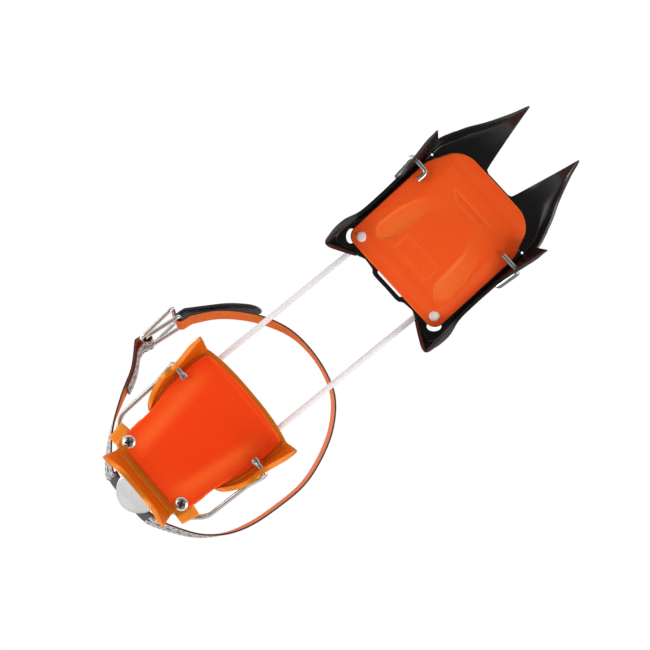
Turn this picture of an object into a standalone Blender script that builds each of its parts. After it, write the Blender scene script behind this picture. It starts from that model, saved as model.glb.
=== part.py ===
"""A ten-point touring crampon: steel front half, aluminium heel half, cord link.

The crampon stands on its points. +X runs to the front points, +Y to the wearer's left, +Z up
to the boot. Helper functions take millimetres; meshes are written in metres. Each half is drawn
about its own centre and then placed, because the cords let the front half turn out a little.
"""

from math import atan2, cos, degrees, pi, radians, sin

import bmesh
import bpy
from mathutils import Matrix, Vector

MM = 0.001

# Where the halves stand
FRONT_X = 88.5
FRONT_Y = 3.2
FRONT_YAW = -2.3
HEEL_X = -101.5
HEEL_Y = 0.8

# Heights, from the tips of the points
POINT_HEIGHT = 34.0
STEEL = 2.0
ALUMINIUM = 3.0
GAP = 0.3

# Front half
BAIL_AXIS_X = 16.7
BAIL_AXIS_Z = 26.5
WIRE_RADIUS = 1.6
RIVET_SPOT = (-38.0, 32.2)
RIVET_RADIUS = 3.2
RIVET_SHANK = 1.8
CORNER_HOLE_SHIFT = (-4.0, 4.6)
CORNER_HOLE_HALF = (3.0, 4.5)
PLATE_THICKNESS = 2.5
PLATE_RELIEF = 2.0

# Link
CORD_RADIUS = 1.85
CORD_HALF_SPACING = 27.5
CORD_Z = 39.3
RAIL_X = (-33.0, 29.0)
RAIL_Y = (33.5, 39.0)
RAIL_RIVET_X = (-30.0, 26.0)
RAIL_HEIGHT = 2.6
BAR_X = -8.0
BAR_LENGTH = 9.0
BAR_HEIGHT = 6.0
FOLD_FRONT_X = -86.0
FOLD_HEEL_X = 42.0
CORD_JOINT_GAP = 0.4

# Heel half
HEEL_WIRE_X = 16.0
HEEL_WIRE_Z = 26.0
LEVER_X = -46.0
LEVER_Z = 52.0
LEVER_Y = 2.0
LEVER_LEAN = 30.0
LEVER_LENGTH = 52.0
LEVER_JAW = 9.0
SLOT_ALONG_LEVER = 36.0
SCREW_SPOT = (-34.8, 24.2)
POST_SPOT = (18.0, 21.0)

# Ankle strap
STRAP_WIDTH = 15.0
STRAP_THICKNESS = 1.5
TIP_THICKNESS = 1.8
TIP_JOINT_GAP = 0.4
SLEEVE_HALF = 19.0
STRAP_DROP_TO_FRONT = 9.0
FRONT_LEAN = (-0.21, 0.26, 0.94)

FRONT = Matrix.Translation((FRONT_X, FRONT_Y, 0)) @ Matrix.Rotation(radians(FRONT_YAW), 4, "Z")
HEEL = Matrix.Translation((HEEL_X, HEEL_Y, 0))

COLOURS = {
    "black_steel": ((0.012, 0.012, 0.014), 0.25, 0.9),
    "orange_plastic": ((0.80, 0.09, 0.015), 0.45, 0.0),
    "orange_aluminium": ((0.85, 0.22, 0.01), 0.35, 0.7),
    "bright_steel": ((0.60, 0.60, 0.60), 0.25, 1.0),
    "white_plastic": ((0.80, 0.80, 0.80), 0.40, 0.0),
    "white_cord": ((0.75, 0.75, 0.75), 0.80, 0.0),
    "strap_webbing": ((0.75, 0.17, 0.03), 0.85, 0.0),
    "black_webbing": ((0.02, 0.02, 0.02), 0.50, 0.0),
}


# ---------------------------------------------------------------- materials and objects


def material(name):
    """The named material, made once."""
    found = bpy.data.materials.get(name)
    if found:
        return found
    colour, roughness, metallic = COLOURS[name]
    made = bpy.data.materials.new(name)
    made.use_nodes = True
    shader = made.node_tree.nodes["Principled BSDF"]
    shader.inputs["Base Color"].default_value = (*colour, 1)
    shader.inputs["Roughness"].default_value = roughness
    shader.inputs["Metallic"].default_value = metallic
    made.diffuse_color = (*colour, 1)
    return made


def pivot(name, spot, parent=None):
    """An empty on a joint's axis. spot is in world millimetres."""
    empty = bpy.data.objects.new(name, None)
    bpy.context.collection.objects.link(empty)
    empty["spot"] = list(spot)
    start = Vector(parent["spot"]) if parent else Vector((0, 0, 0))
    empty.parent = parent
    empty.location = (Vector(spot) - start) * MM
    return empty


def add_object(name, data, look, parent=None):
    """An object around data, hung under parent's empty."""
    made = bpy.data.objects.new(name, data)
    bpy.context.collection.objects.link(made)
    made.parent = parent
    data.materials.append(material(look))
    return made


def to_parent(parent):
    """Turns world millimetres into the parent's metres."""
    start = Vector(parent["spot"]) if parent else Vector((0, 0, 0))
    return Matrix.Scale(MM, 4) @ Matrix.Translation(-start)


def mesh_object(name, bm, look, place=None, parent=None, sharp=35):
    """A mesh object from a bmesh in millimetres of its half."""
    bmesh.ops.transform(bm, matrix=to_parent(parent) @ (place or Matrix()), verts=bm.verts)
    bmesh.ops.recalc_face_normals(bm, faces=bm.faces)
    data = bpy.data.meshes.new(name)
    bm.to_mesh(data)
    bm.free()
    data.shade_smooth()
    data.set_sharp_from_angle(angle=radians(sharp))
    return add_object(name, data, look, parent)


def cutter(name, bm, target, place=None, operation="DIFFERENCE"):
    """A hidden cutter and the Boolean on target that uses it."""
    tool = mesh_object(name, bm, "black_steel", place, target.parent)
    tool.hide_render = True
    tool.display_type = "WIRE"
    cut = target.modifiers.new(name, "BOOLEAN")
    cut.operation = operation
    cut.solver = "EXACT"
    cut.object = tool
    return tool


# ---------------------------------------------------------------- shapes


def add_box(bm, low, high):
    """A box between two corners."""
    low, high = Vector(low), Vector(high)
    made = bmesh.ops.create_cube(bm, size=1)["verts"]
    size = high - low
    matrix = Matrix.Translation((low + high) / 2) @ Matrix.Diagonal((*size, 1))
    bmesh.ops.transform(bm, matrix=matrix, verts=made)


def add_turned(bm, profile, spot, axis="Z", segments=16):
    """A solid turned from (radius, height) pairs about an axis through spot."""
    turn = {"Z": Matrix(), "Y": Matrix.Rotation(-pi / 2, 4, "X"), "X": Matrix.Rotation(pi / 2, 4, "Y")}
    rings = []
    for radius, height in profile:
        if radius == 0:
            rings.append([bm.verts.new((0, 0, height))])
            continue
        angles = [2 * pi * i / segments for i in range(segments)]
        rings.append([bm.verts.new((radius * cos(a), radius * sin(a), height)) for a in angles])
    for low, high in zip(rings, rings[1:]):
        for i in range(segments):
            j = (i + 1) % segments
            corners = [low[i % len(low)], low[j % len(low)], high[j % len(high)], high[i % len(high)]]
            bm.faces.new(list(dict.fromkeys(corners)))
    for ring, flip in ((rings[0], True), (rings[-1], False)):
        if len(ring) > 1:
            bm.faces.new(ring[::-1] if flip else ring)
    made = [v for ring in rings for v in ring]
    bmesh.ops.transform(bm, matrix=Matrix.Translation(spot) @ turn[axis], verts=made)


def add_prism(bm, outline, height):
    """An outline of points pushed along the vector height."""
    low = [bm.verts.new(p) for p in outline]
    high = [bm.verts.new(Vector(p) + Vector(height)) for p in outline]
    bm.faces.new(low[::-1])
    bm.faces.new(high)
    for i in range(len(low)):
        j = (i + 1) % len(low)
        bm.faces.new((low[i], low[j], high[j], high[i]))


def rounded(corners, steps=5):
    """Corner points (x, y, radius) as an outline whose corners are arcs."""
    outline = []
    count = len(corners)
    for i, (x, y, radius) in enumerate(corners):
        here = Vector((x, y))
        before = (Vector(corners[i - 1][:2]) - here).normalized()
        after = (Vector(corners[(i + 1) % count][:2]) - here).normalized()
        if radius == 0:
            outline.append(here)
            continue
        half = before.angle(after) / 2
        reach = radius / sin(half) * cos(half)
        start, end = here + before * reach, here + after * reach
        centre = here + (before + after).normalized() * radius / sin(half)
        first, last = start - centre, end - centre
        turn = first.angle_signed(last)
        for k in range(steps + 1):
            outline.append(centre + Matrix.Rotation(-turn * k / steps, 2) @ first)
    return outline


def bent(points, radius, steps=5):
    """A path through 3-D points whose inner corners are arcs of the given radius."""
    points = [Vector(p) for p in points]
    path = [points[0]]
    for before, here, after in zip(points, points[1:], points[2:]):
        back, on = (before - here).normalized(), (after - here).normalized()
        half = back.angle(on) / 2
        reach = min(radius / sin(half) * cos(half), 0.45 * min((before - here).length, (after - here).length))
        start, end = here + back * reach, here + on * reach
        for k in range(steps + 1):
            t = k / steps
            path.append(start.lerp(here, t).lerp(here.lerp(end, t), t))
    path.append(points[-1])
    return path


def smooth(points, per_span):
    """A Catmull-Rom curve through points."""
    points = [Vector(p) for p in points]
    ends = [points[0] * 2 - points[1], *points, points[-1] * 2 - points[-2]]
    path = []
    for a, b, c, d in zip(ends, ends[1:], ends[2:], ends[3:]):
        for k in range(per_span):
            t = k / per_span
            path.append(0.5 * (2 * b + (c - a) * t + (2 * a - 5 * b + 4 * c - d) * t * t
                               + (3 * b - a - 3 * c + d) * t ** 3))
    path.append(points[-1])
    return path


def wire(name, path, radius, look, place=None, parent=None, closed=False, resolution=2):
    """A round wire or cord along a path."""
    matrix = to_parent(parent) @ (place or Matrix())
    curve = bpy.data.curves.new(name, "CURVE")
    curve.dimensions = "3D"
    curve.bevel_depth = radius * MM
    curve.bevel_resolution = resolution
    curve.use_fill_caps = True
    spline = curve.splines.new("POLY")
    spline.points.add(len(path) - 1)
    for point, spot in zip(spline.points, path):
        point.co = (*(matrix @ Vector(spot)), 1)
    spline.use_cyclic_u = closed
    return add_object(name, curve, look, parent)


def sheet_object(name, patches, thickness, look, place=None, parent=None):
    """Bent sheet metal: grids of points joined where they meet, thickened to the outside."""
    bm = bmesh.new()
    for grid in patches:
        if len(grid) == 1:
            bm.faces.new([bm.verts.new(p) for p in grid[0]])
            continue
        rows = [[bm.verts.new(p) for p in row] for row in grid]
        for low, high in zip(rows, rows[1:]):
            for i in range(len(low) - 1):
                bm.faces.new((low[i], low[i + 1], high[i + 1], high[i]))
    bmesh.ops.remove_doubles(bm, verts=bm.verts, dist=0.01)
    bmesh.ops.dissolve_degenerate(bm, edges=bm.edges, dist=0.01)
    made = mesh_object(name, bm, look, place, parent)
    faces = made.data.polygons
    if faces[max(range(len(faces)), key=lambda i: faces[i].area)].normal.z < 0:
        made.data.flip_normals()
    wall = made.modifiers.new("thickness", "SOLIDIFY")
    wall.thickness = thickness * MM
    wall.offset = 1
    wall.use_even_offset = True
    return made


def mirrored(point):
    return Vector((point[0], -point[1], point[2]))


def both_sides(grid):
    """A grid for +Y and its mirror image for -Y."""
    return [grid, [[mirrored(p) for p in row] for row in grid]]


def point_rows(roots, tip, heights):
    """Rows that draw a root edge down to a tip. heights are shares of the drop, from 0 to 1."""
    rows = []
    for share in heights:
        inward = share ** 0.85
        down = share ** 1.15
        row = []
        for root in roots:
            flat = root.xy.lerp(Vector(tip).xy, inward)
            row.append(Vector((*flat, root.z + (tip[2] - root.z) * down)))
        rows.append(row)
    return rows


# ---------------------------------------------------------------- front half

# Lower face of the platform's edge for +Y, from the middle of the rear edge round to the crotch
FRONT_REAR_EDGE = [(-48.0, 0), (-48.0, 10.5), (-46.0, 14), (-45.2, 21)]
FRONT_SKIRT_ROOT = [(-46.6, 27.5), (-49.3, 33), (-50.3, 38.5), (-49.5, 43), (-40, 43.6), (-29, 41.3),
                    (-15, 41), (-3, 41), (7, 41), (17, 41), (27, 41), (35, 40.4), (44, 36.5)]
FRONT_SKIRT_FLARE = [(0.2, -0.6), (-0.8, 0.3), (-1.4, 0.8), (-1.2, 1.2), (0, 1.4), (0, 0.8),
                     (0, 0.6), (0, 0.8), (0, 1.0), (0, 1.2), (0, 1.4), (1.0, 1.8), (0.6, 2.8)]
FRONT_SKIRT_DROP = [1.5, 4.5, 6.5, 7, 7, 7, 7, 7, 7, 7, 7, 7, 7]
CORNER_TIP = (-54.8, 40.6, 0)
SIDE_TIP = (33.0, 47.6, 0)
CROTCH = [(44, 0), (44, 8.5), (44.8, 10.6)]
BLADE_STATIONS = [  # distance ahead, inner edge, fold, outer edge, height, drop of the outer edge
    (44, 10.6, 36.5, 39.3, 34, 7),
    (52, 12.9, 33.2, 36.0, 33.2, 6.5),
    (61, 15.3, 28.6, 31.0, 29.5, 5),
    (70, 17.7, 25.2, 26.6, 22.5, 3),
    (77, 19.5, 22.8, 23.4, 13.5, 1),
]
BLADE_TIP = (83.5, 21.0, 4.0)


def front_sheet():
    """Platform, skirt, corner points, side points and front blades of the front frame."""
    z = POINT_HEIGHT
    root = [Vector((x, y, z)) for x, y in FRONT_SKIRT_ROOT]
    skirt = [Vector((p.x + fx, p.y + fy, z - drop))
             for p, (fx, fy), drop in zip(root, FRONT_SKIRT_FLARE, FRONT_SKIRT_DROP)]
    rear = [Vector((x, y, z)) for x, y in FRONT_REAR_EDGE]
    blade_root = [Vector((44, y, z)) for y in (36.5, 28, 19)]
    crotch = [Vector((x, y, z)) for x, y in reversed(CROTCH)]
    half = rear + root + blade_root[1:] + crotch
    platform = half + [mirrored(p) for p in reversed(half) if p.y > 0]
    patches = [[platform]]
    patches += both_sides([root, skirt])
    shares = [0, 0.35, 0.7, 1]
    patches += both_sides(point_rows(skirt[:6], CORNER_TIP, shares))
    patches += both_sides(point_rows(skirt[7:11], SIDE_TIP, shares))
    rows = []
    for x, inner, fold, outer, height, drop in BLADE_STATIONS:
        first = 44.8 if x == 44 else x
        across = [Vector((first, inner, height)), Vector((x, inner + (fold - inner) * 0.33, height)),
                  Vector((x, inner + (fold - inner) * 0.67, height)), Vector((x, fold, height)),
                  Vector((x + (0.6 if x == 44 else 0), outer, height - drop))]
        rows.append(across)
    rows[0][1] = Vector((44, 19, z))
    rows[0][2] = Vector((44, 28, z))
    rows.append([Vector(BLADE_TIP)] * 5)
    patches += both_sides(rows)
    return patches


def front_frame():
    frame = sheet_object("front_frame", front_sheet(), STEEL, "black_steel", FRONT)
    holes = bmesh.new()
    add_box(holes, (-28, -30, 30), (29, 30, 40))
    add_box(holes, (-45.4, -10.5, 30), (-41.5, 10.5, 40))
    for side in (1, -1):
        add_corner_hole(holes, side)
        x, y = RIVET_SPOT
        add_turned(holes, [(RIVET_SHANK + GAP, 32), (RIVET_SHANK + GAP, 40)], (x, side * y, 0))
        add_turned(holes, [(1.9, -6), (1.9, 6)], (BAIL_AXIS_X, side * 42, BAIL_AXIS_Z), "Y", 12)
        for rail_x in RAIL_RIVET_X:
            add_turned(holes, [(1.6, 32), (1.6, 40)], (rail_x, side * sum(RAIL_Y) / 2, 0), segments=12)
    cutter("front_frame_holes", holes, frame, FRONT)
    return frame


def add_corner_hole(bm, side):
    """An oval hole just outside a corner rivet, longer across the corner's diagonal."""
    before = len(bm.verts)
    add_turned(bm, [(1, 26), (1, 40)], (0, 0, 0), segments=20)
    bm.verts.ensure_lookup_table()
    made = bm.verts[before:]
    x, y = (RIVET_SPOT[i] + CORNER_HOLE_SHIFT[i] for i in (0, 1))
    diagonal = atan2(CORNER_HOLE_SHIFT[1] * side, CORNER_HOLE_SHIFT[0])
    place = Matrix.Translation((x, y * side, 0)) @ Matrix.Rotation(diagonal, 4, "Z")
    bmesh.ops.transform(bm, matrix=place @ Matrix.Diagonal((*CORNER_HOLE_HALF, 1, 1)), verts=made)


def relief_plate(name, outline, centre, holes_at, hole_radius, place, parent=None):
    """A flat plate whose middle is pressed down toward the snow, with two holes."""
    top = POINT_HEIGHT - GAP
    low = top - PLATE_THICKNESS
    middle = Vector(centre)
    levels = [(1.0, top), (1.0, low), (0.84, low), (0.76, low - PLATE_RELIEF)]
    bm = bmesh.new()
    rings = []
    for scale, z in levels:
        flat = [middle + (p - middle) * scale for p in outline]
        rings.append([bm.verts.new((p.x, p.y, z)) for p in flat])
    for upper, lower in zip(rings, rings[1:]):
        for i in range(len(upper)):
            j = (i + 1) % len(upper)
            bm.faces.new((upper[i], upper[j], lower[j], lower[i]))
    bm.faces.new(rings[0])
    bm.faces.new(rings[-1])
    plate = mesh_object(name, bm, "orange_plastic", place, parent)
    holes = bmesh.new()
    for side in (1, -1):
        x, y = holes_at
        add_turned(holes, [(hole_radius, 28), (hole_radius, 40)], (x, side * y, 0))
    cutter(name + "_holes", holes, plate, place)


def front_plate():
    """Anti-snow plate under the front frame."""
    outline = rounded([(-44.2, -39.1, 6.6), (21.2, -39.1, 6), (37, -32.4, 7), (43, -24, 9),
                       (43, 24, 9), (37, 32.4, 7), (21.2, 39.1, 6), (-44.2, 39.1, 6.6)], 4)
    relief_plate("front_antisnow_plate", outline, (0, 0), RIVET_SPOT, RIVET_SHANK + GAP, FRONT)


def front_rivets():
    """White plastic rivets that hold the anti-snow plate's rear corners."""
    low = POINT_HEIGHT - GAP - PLATE_THICKNESS - GAP
    top = POINT_HEIGHT + STEEL + GAP
    profile = [(0, low - 1.6), (2.2, low - 1.3), (RIVET_RADIUS, low - 0.4), (RIVET_RADIUS, low),
               (RIVET_SHANK, low), (RIVET_SHANK, top), (2.8, top), (2.4, top + 0.9), (0, top + 1.1)]
    for name, side in (("left", 1), ("right", -1)):
        bm = bmesh.new()
        add_turned(bm, profile, (RIVET_SPOT[0], side * RIVET_SPOT[1], 0))
        mesh_object("front_rivet_" + name, bm, "white_plastic", FRONT)


def toe_bail():
    """Wire bail over the toe, leaning back from its holes in the frame's sides."""
    x, z = BAIL_AXIS_X, BAIL_AXIS_Z
    hook = [(x - 7.5, -34.3, z), (x - 0.2, -33.9, z)]
    straight = [(x, 33, z)]
    arm = [(x, 46.2, z), (x - 1.2, 46.8, z + 3.5), (x - 12.5, 46.8, z + 38), (x - 9.5, 36, z + 46),
           (x - 7.5, 18, z + 48.5)]
    path = hook + [mirrored(p) for p in arm] + arm[::-1] + straight
    axis = pivot("toe_bail_pivot", FRONT @ Vector((x, 0, z)))
    wire("toe_bail", bent(path, 5, 4), WIRE_RADIUS, "bright_steel", FRONT, axis)


def adjuster_rails():
    """Toothed rails on the boot side that hold the link's length, each with two rivets."""
    low = POINT_HEIGHT + STEEL + GAP
    inner, outer = RAIL_Y
    middle = (inner + outer) / 2
    for name, side in (("left", 1), ("right", -1)):
        outline = [(RAIL_X[0], outer), (RAIL_X[0], inner)]
        for i in range(8):
            x = -25 + 5.2 * i
            outline += [(x, inner), (x + 0.8, inner + 1.5), (x + 2.4, inner + 1.5), (x + 3.2, inner)]
        outline += [(RAIL_X[1], inner), (RAIL_X[1], outer)]
        bm = bmesh.new()
        add_prism(bm, [(x, y * side, low) for x, y in outline], (0, 0, RAIL_HEIGHT))
        rail = mesh_object("adjuster_rail_" + name, bm, "bright_steel", FRONT)
        holes = bmesh.new()
        for end, x in zip(("rear", "front"), RAIL_RIVET_X):
            add_turned(holes, [(1.6, 30), (1.6, 45)], (x, side * middle, 0), segments=12)
            head = low + RAIL_HEIGHT + GAP
            pin = bmesh.new()
            add_turned(pin, [(1.25, POINT_HEIGHT), (1.25, head), (2.1, head), (1.8, head + 0.7), (0, head + 0.9)],
                       (x, side * middle, 0), segments=12)
            mesh_object(f"rail_rivet_{name}_{end}", pin, "bright_steel", FRONT)
        cutter("rail_holes_" + name, holes, rail, FRONT)


# ---------------------------------------------------------------- link


def cord_spot(side, x):
    """A point of the straight cords at world x, between the bar and the heel."""
    bar = FRONT @ Vector((BAR_X, side * CORD_HALF_SPACING, CORD_Z))
    heel = HEEL @ Vector((FOLD_HEEL_X, side * CORD_HALF_SPACING, CORD_Z))
    return bar.lerp(heel, (x - bar.x) / (heel.x - bar.x))


def link_pivots():
    """The slide of the bar, and the two places where the cords fold."""
    slide = pivot("length_adjust_slide", FRONT @ Vector((BAR_X, 0, CORD_Z)))
    fold_front = pivot("fold_front_pivot", cord_spot(0, FRONT_X + FOLD_FRONT_X), slide)
    fold_heel = pivot("fold_heel_pivot", HEEL @ Vector((FOLD_HEEL_X, 0, CORD_Z)), fold_front)
    return slide, fold_front, fold_heel


def adjuster(slide):
    """Cross bar that lies over the rails and carries the cords, and the knots ahead of it."""
    low = POINT_HEIGHT + STEEL + GAP
    shoulder = low + RAIL_HEIGHT + 2 * GAP
    inner, outer = RAIL_Y[0] - 2 * GAP, RAIL_Y[1]
    half = [(0, low), (inner, low), (inner, shoulder), (outer, shoulder), (outer, low + BAR_HEIGHT)]
    profile = half + [(-y, z) for y, z in reversed(half[1:])]
    bm = bmesh.new()
    add_prism(bm, [(BAR_X - BAR_LENGTH / 2, y, z) for y, z in profile], (BAR_LENGTH, 0, 0))
    bar = mesh_object("adjuster_bar", bm, "bright_steel", FRONT, slide)
    holes = bmesh.new()
    for side in (1, -1):
        spot = (BAR_X, side * CORD_HALF_SPACING, CORD_Z)
        add_turned(holes, [(CORD_RADIUS + GAP, -8), (CORD_RADIUS + GAP, 8)], spot, "X", 12)
    cutter("bar_holes", holes, bar, FRONT)
    for name, side in (("left", 1), ("right", -1)):
        bm = bmesh.new()
        bmesh.ops.create_icosphere(bm, subdivisions=2, radius=3.3)
        move = Matrix.Translation((BAR_X + BAR_LENGTH / 2 + 5.4, side * CORD_HALF_SPACING, CORD_Z + 0.3))
        bmesh.ops.transform(bm, matrix=move @ Matrix.Diagonal((1.25, 1, 0.85, 1)), verts=bm.verts)
        mesh_object("cord_knot_" + name, bm, "white_cord", FRONT, slide)


def cords(slide, fold_front, fold_heel):
    """Two cords from the bar, in lengths between the folds, and round the posts on the heel."""
    bend_x = FRONT_X + FOLD_FRONT_X
    heel_x = HEEL_X + FOLD_HEEL_X
    gap = CORD_JOINT_GAP / 2
    count = 12
    for name, side in (("left", 1), ("right", -1)):
        ahead = FRONT @ Vector((BAR_X + BAR_LENGTH / 2 + 0.8, side * CORD_HALF_SPACING, CORD_Z))
        start = cord_spot(side, ahead.x)
        end = cord_spot(side, bend_x + gap)
        run = [start.lerp(end, i / count) for i in range(count + 1)]
        wire("cord_front_" + name, run, CORD_RADIUS, "white_cord", parent=slide)
        start, end = cord_spot(side, bend_x - gap), cord_spot(side, heel_x + gap)
        run = [start.lerp(end, i / count) for i in range(count + 1)]
        wire("cord_middle_" + name, run, CORD_RADIUS, "white_cord", parent=fold_front)
    half = [(FOLD_HEEL_X - gap, CORD_HALF_SPACING, CORD_Z), (34, 27.5, CORD_Z), (24, 27.2, CORD_Z),
            (16, 24.6, CORD_Z), (12.6, 18.5, CORD_Z), (11.8, 9, CORD_Z)]
    path = half + [(11.8, 0, CORD_Z)] + [mirrored(p) for p in reversed(half)]
    wire("cord_heel_loop", smooth(path, 4), CORD_RADIUS, "white_cord", HEEL, fold_heel)


# ---------------------------------------------------------------- heel half

HEEL_FRONT_EDGE = [(36.5, 0), (36.3, 16), (35.6, 30)]
LANDING_CORNER = (15.5, 16)
HEEL_SKIRT_ROOT = [(34.6, 35), (30, 37.4), (22, 37.6), (14, 37.4), (6, 37), (-3, 35.4), (-14, 31.8)]
HEEL_SKIRT_FLARE = [(2.0, 1.4), (1.0, 1.8), (0, 1.6), (0, 1.4), (0, 1.8), (0, 1.2), (0, 0.4)]
HEEL_SKIRT_DROP = [6, 8, 10, 12, 12, 7, 3]
HEEL_TIP = (39.8, 41.6, 0)
HEEL_LIP_DROP = 3.0
HEEL_SIDE = [(-22, 30.2), (-29.5, 29.8)]
LUG_ROOT = [(-30.2, 29.8), (-42.4, 28.6)]
LUG_END = [(-31.8, 36.6), (-43.2, 34.2)]
LUG_RISE = 4.0
REAR_ROOT_X = -43.6
REAR_HALF = 25.6
REAR_KNEE_DROP = 14.0
REAR_LEAN_ABOVE = 2.4
REAR_LEAN_BELOW = 1.2
REAR_PROFILE = [  # across, height of the flange's lower edge
    (0, 19), (9, 18.5), (16, 15.5), (21.5, 9.0), (27.0, 0)]


def rear_x(height):
    """The rear flange leans back to its knee, and is steeper below it."""
    drop = POINT_HEIGHT - height
    above = REAR_LEAN_ABOVE * min(1, drop / REAR_KNEE_DROP)
    below = REAR_LEAN_BELOW * max(0, drop - REAR_KNEE_DROP) / (POINT_HEIGHT - REAR_KNEE_DROP)
    return REAR_ROOT_X - 0.8 - above - below


def heel_sheet():
    """Platform, side skirts with the front points, boot lugs and rear flange of the heel frame."""
    z = POINT_HEIGHT
    root = [Vector((x, y, z)) for x, y in HEEL_SKIRT_ROOT]
    skirt = [Vector((p.x + fx, p.y + fy, z - drop))
             for p, (fx, fy), drop in zip(root, HEEL_SKIRT_FLARE, HEEL_SKIRT_DROP)]
    front = [Vector((x, y, z)) for x, y in HEEL_FRONT_EDGE]
    side = [Vector((x, y, z)) for x, y in HEEL_SIDE]
    lug_root = [Vector((x, y, z)) for x, y in LUG_ROOT]
    lug_end = [Vector((x, y, z + LUG_RISE)) for x, y in LUG_END]
    across = [0, 9, 16, 21.5, REAR_HALF]
    rear_root = [Vector((REAR_ROOT_X, y, z)) for y in across]
    corner = Vector((*LANDING_CORNER, z))
    half = [corner] + front[1:] + root + side + lug_root + rear_root[::-1]
    platform = half + [mirrored(p) for p in reversed(half) if p.y > 0]
    landing = [front[0], front[1], corner, mirrored(corner), mirrored(front[1])]
    lip = [Vector((p.x + 0.9, p.y, z - HEEL_LIP_DROP)) for p in front]
    patches = [[platform], [landing]]
    patches += both_sides([front + root[:1], lip + skirt[:1]])
    patches += both_sides([root, skirt])
    patches += both_sides(point_rows(skirt[:4], HEEL_TIP, [0, 0.35, 0.7, 1]))
    patches += both_sides([lug_root, lug_end])
    rows = []
    for share in (0, 0.12, 0.4, 0.7, 1):
        row = []
        for y, (edge_y, edge_z) in zip(across, REAR_PROFILE):
            height = z + (edge_z - z) * share
            width = y + (edge_y - y) * share
            x = REAR_ROOT_X if share == 0 else rear_x(height)
            row.append(Vector((x, width, height)))
        rows.append(row)
    patches += both_sides(rows)
    return patches


def heel_frame(fold_heel):
    frame = sheet_object("heel_frame", heel_sheet(), ALUMINIUM, "orange_aluminium", HEEL, fold_heel)
    holes = bmesh.new()
    add_box(holes, (-24, -17, 30), (4, 17, 42))
    for side in (1, -1):
        add_turned(holes, [(2.6, 30), (2.6, 42)], (SCREW_SPOT[0], side * SCREW_SPOT[1], 0))
        add_turned(holes, [(1.9, -6), (1.9, 6)], (HEEL_WIRE_X, side * 39, HEEL_WIRE_Z), "Y", 12)
    cutter("heel_frame_holes", holes, frame, HEEL)
    return frame


def heel_plate(fold_heel):
    """Anti-snow plate under the heel frame, a rounded trapezium."""
    half = [(36, 0, 0), (35.6, 14, 0), (33.6, 33.6, 6), (12, 33.6, 12), (-36, 29, 5), (-39.5, 21, 5)]
    outline = rounded(half + [(x, -y, radius) for x, y, radius in reversed(half[1:])], 4)
    relief_plate("heel_antisnow_plate", outline, (0, 0), SCREW_SPOT, 2.6, HEEL, fold_heel)


def heel_screws(fold_heel):
    """Screws through plate and frame, with hexagon nuts on the boot side."""
    low = POINT_HEIGHT - GAP - PLATE_THICKNESS - GAP
    top = POINT_HEIGHT + ALUMINIUM + 2 * GAP
    for name, side in (("left", 1), ("right", -1)):
        x, y = SCREW_SPOT[0], side * SCREW_SPOT[1]
        bm = bmesh.new()
        add_turned(bm, [(0, low - 1.9), (2.4, low - 1.8), (3.7, low - 1.2), (4.4, low - 0.4), (4.4, low),
                        (2.2, low), (2.2, top + 3.6), (0, top + 3.6)], (x, y, 0))
        screw = mesh_object("heel_screw_" + name, bm, "bright_steel", HEEL, fold_heel)
        recess = bmesh.new()
        for turn in (0, 90):
            add_box(recess, (-2.2, -0.45, low - 3), (2.2, 0.45, low - 0.9))
            spin = Matrix.Rotation(radians(90), 4, "Z")
            if turn == 0:
                bmesh.ops.transform(recess, matrix=spin, verts=recess.verts)
        bmesh.ops.transform(recess, matrix=Matrix.Translation((x, y, 0)), verts=recess.verts)
        cutter("recess_" + name, recess, screw, HEEL)
        bm = bmesh.new()
        add_turned(bm, [(3.9, top), (3.9, top + 3.0)], (x, y, 0), segments=6)
        nut = mesh_object("heel_nut_" + name, bm, "bright_steel", HEEL, fold_heel)
        bore = bmesh.new()
        add_turned(bore, [(2.5, top - 2), (2.5, top + 6)], (x, y, 0))
        cutter("nut_bore_" + name, bore, nut, HEEL)


def cord_posts(fold_heel):
    """Headed posts on the heel frame that the cord runs round."""
    low = POINT_HEIGHT + ALUMINIUM + GAP
    for name, side in (("left", 1), ("right", -1)):
        bm = bmesh.new()
        add_turned(bm, [(2.0, low), (2.0, CORD_Z + 2.2), (4.0, CORD_Z + 2.4), (4.0, CORD_Z + 3.2),
                        (3.2, CORD_Z + 3.7), (0, CORD_Z + 3.9)], (POST_SPOT[0], side * POST_SPOT[1], 0))
        mesh_object("cord_post_" + name, bm, "bright_steel", HEEL, fold_heel)


def heel_bail(fold_heel):
    """Wire bail from the frame's sides, over the lugs and through the lever."""
    x, z = HEEL_WIRE_X, HEEL_WIRE_Z
    half = [(x, 31.5, z), (x, 43.6, z), (x - 5, 44.2, z + 2), (-27.5, 41.3, 42.2), (-31.5, 39.6, 43.6),
            (-37, 34.8, 44.6), (-42.6, 27, 47.5), (LEVER_X, 21.5, LEVER_Z)]
    path = half + [mirrored(p) for p in reversed(half)]
    axis = pivot("heel_bail_pivot", HEEL @ Vector((x, 0, z)), fold_heel)
    wire("heel_bail", bent(path, 4.5, 4), WIRE_RADIUS, "bright_steel", HEEL, axis)
    return axis


def lever_place():
    """The lever's own axes: X toward the boot, Y across, Z along the lever, origin on its pivot."""
    return HEEL @ Matrix.Translation((LEVER_X, LEVER_Y, LEVER_Z)) @ Matrix.Rotation(radians(-LEVER_LEAN), 4, "Y")


def lever_pivots(bail_axis):
    """Two pivots on the bail's rear: one keeps the strap level, and on it the lever tilts."""
    spot = HEEL @ Vector((LEVER_X, 0, LEVER_Z))
    strap_axis = pivot("strap_pivot", spot, bail_axis)
    return strap_axis, pivot("heel_lever_pivot", spot, strap_axis)


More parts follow.
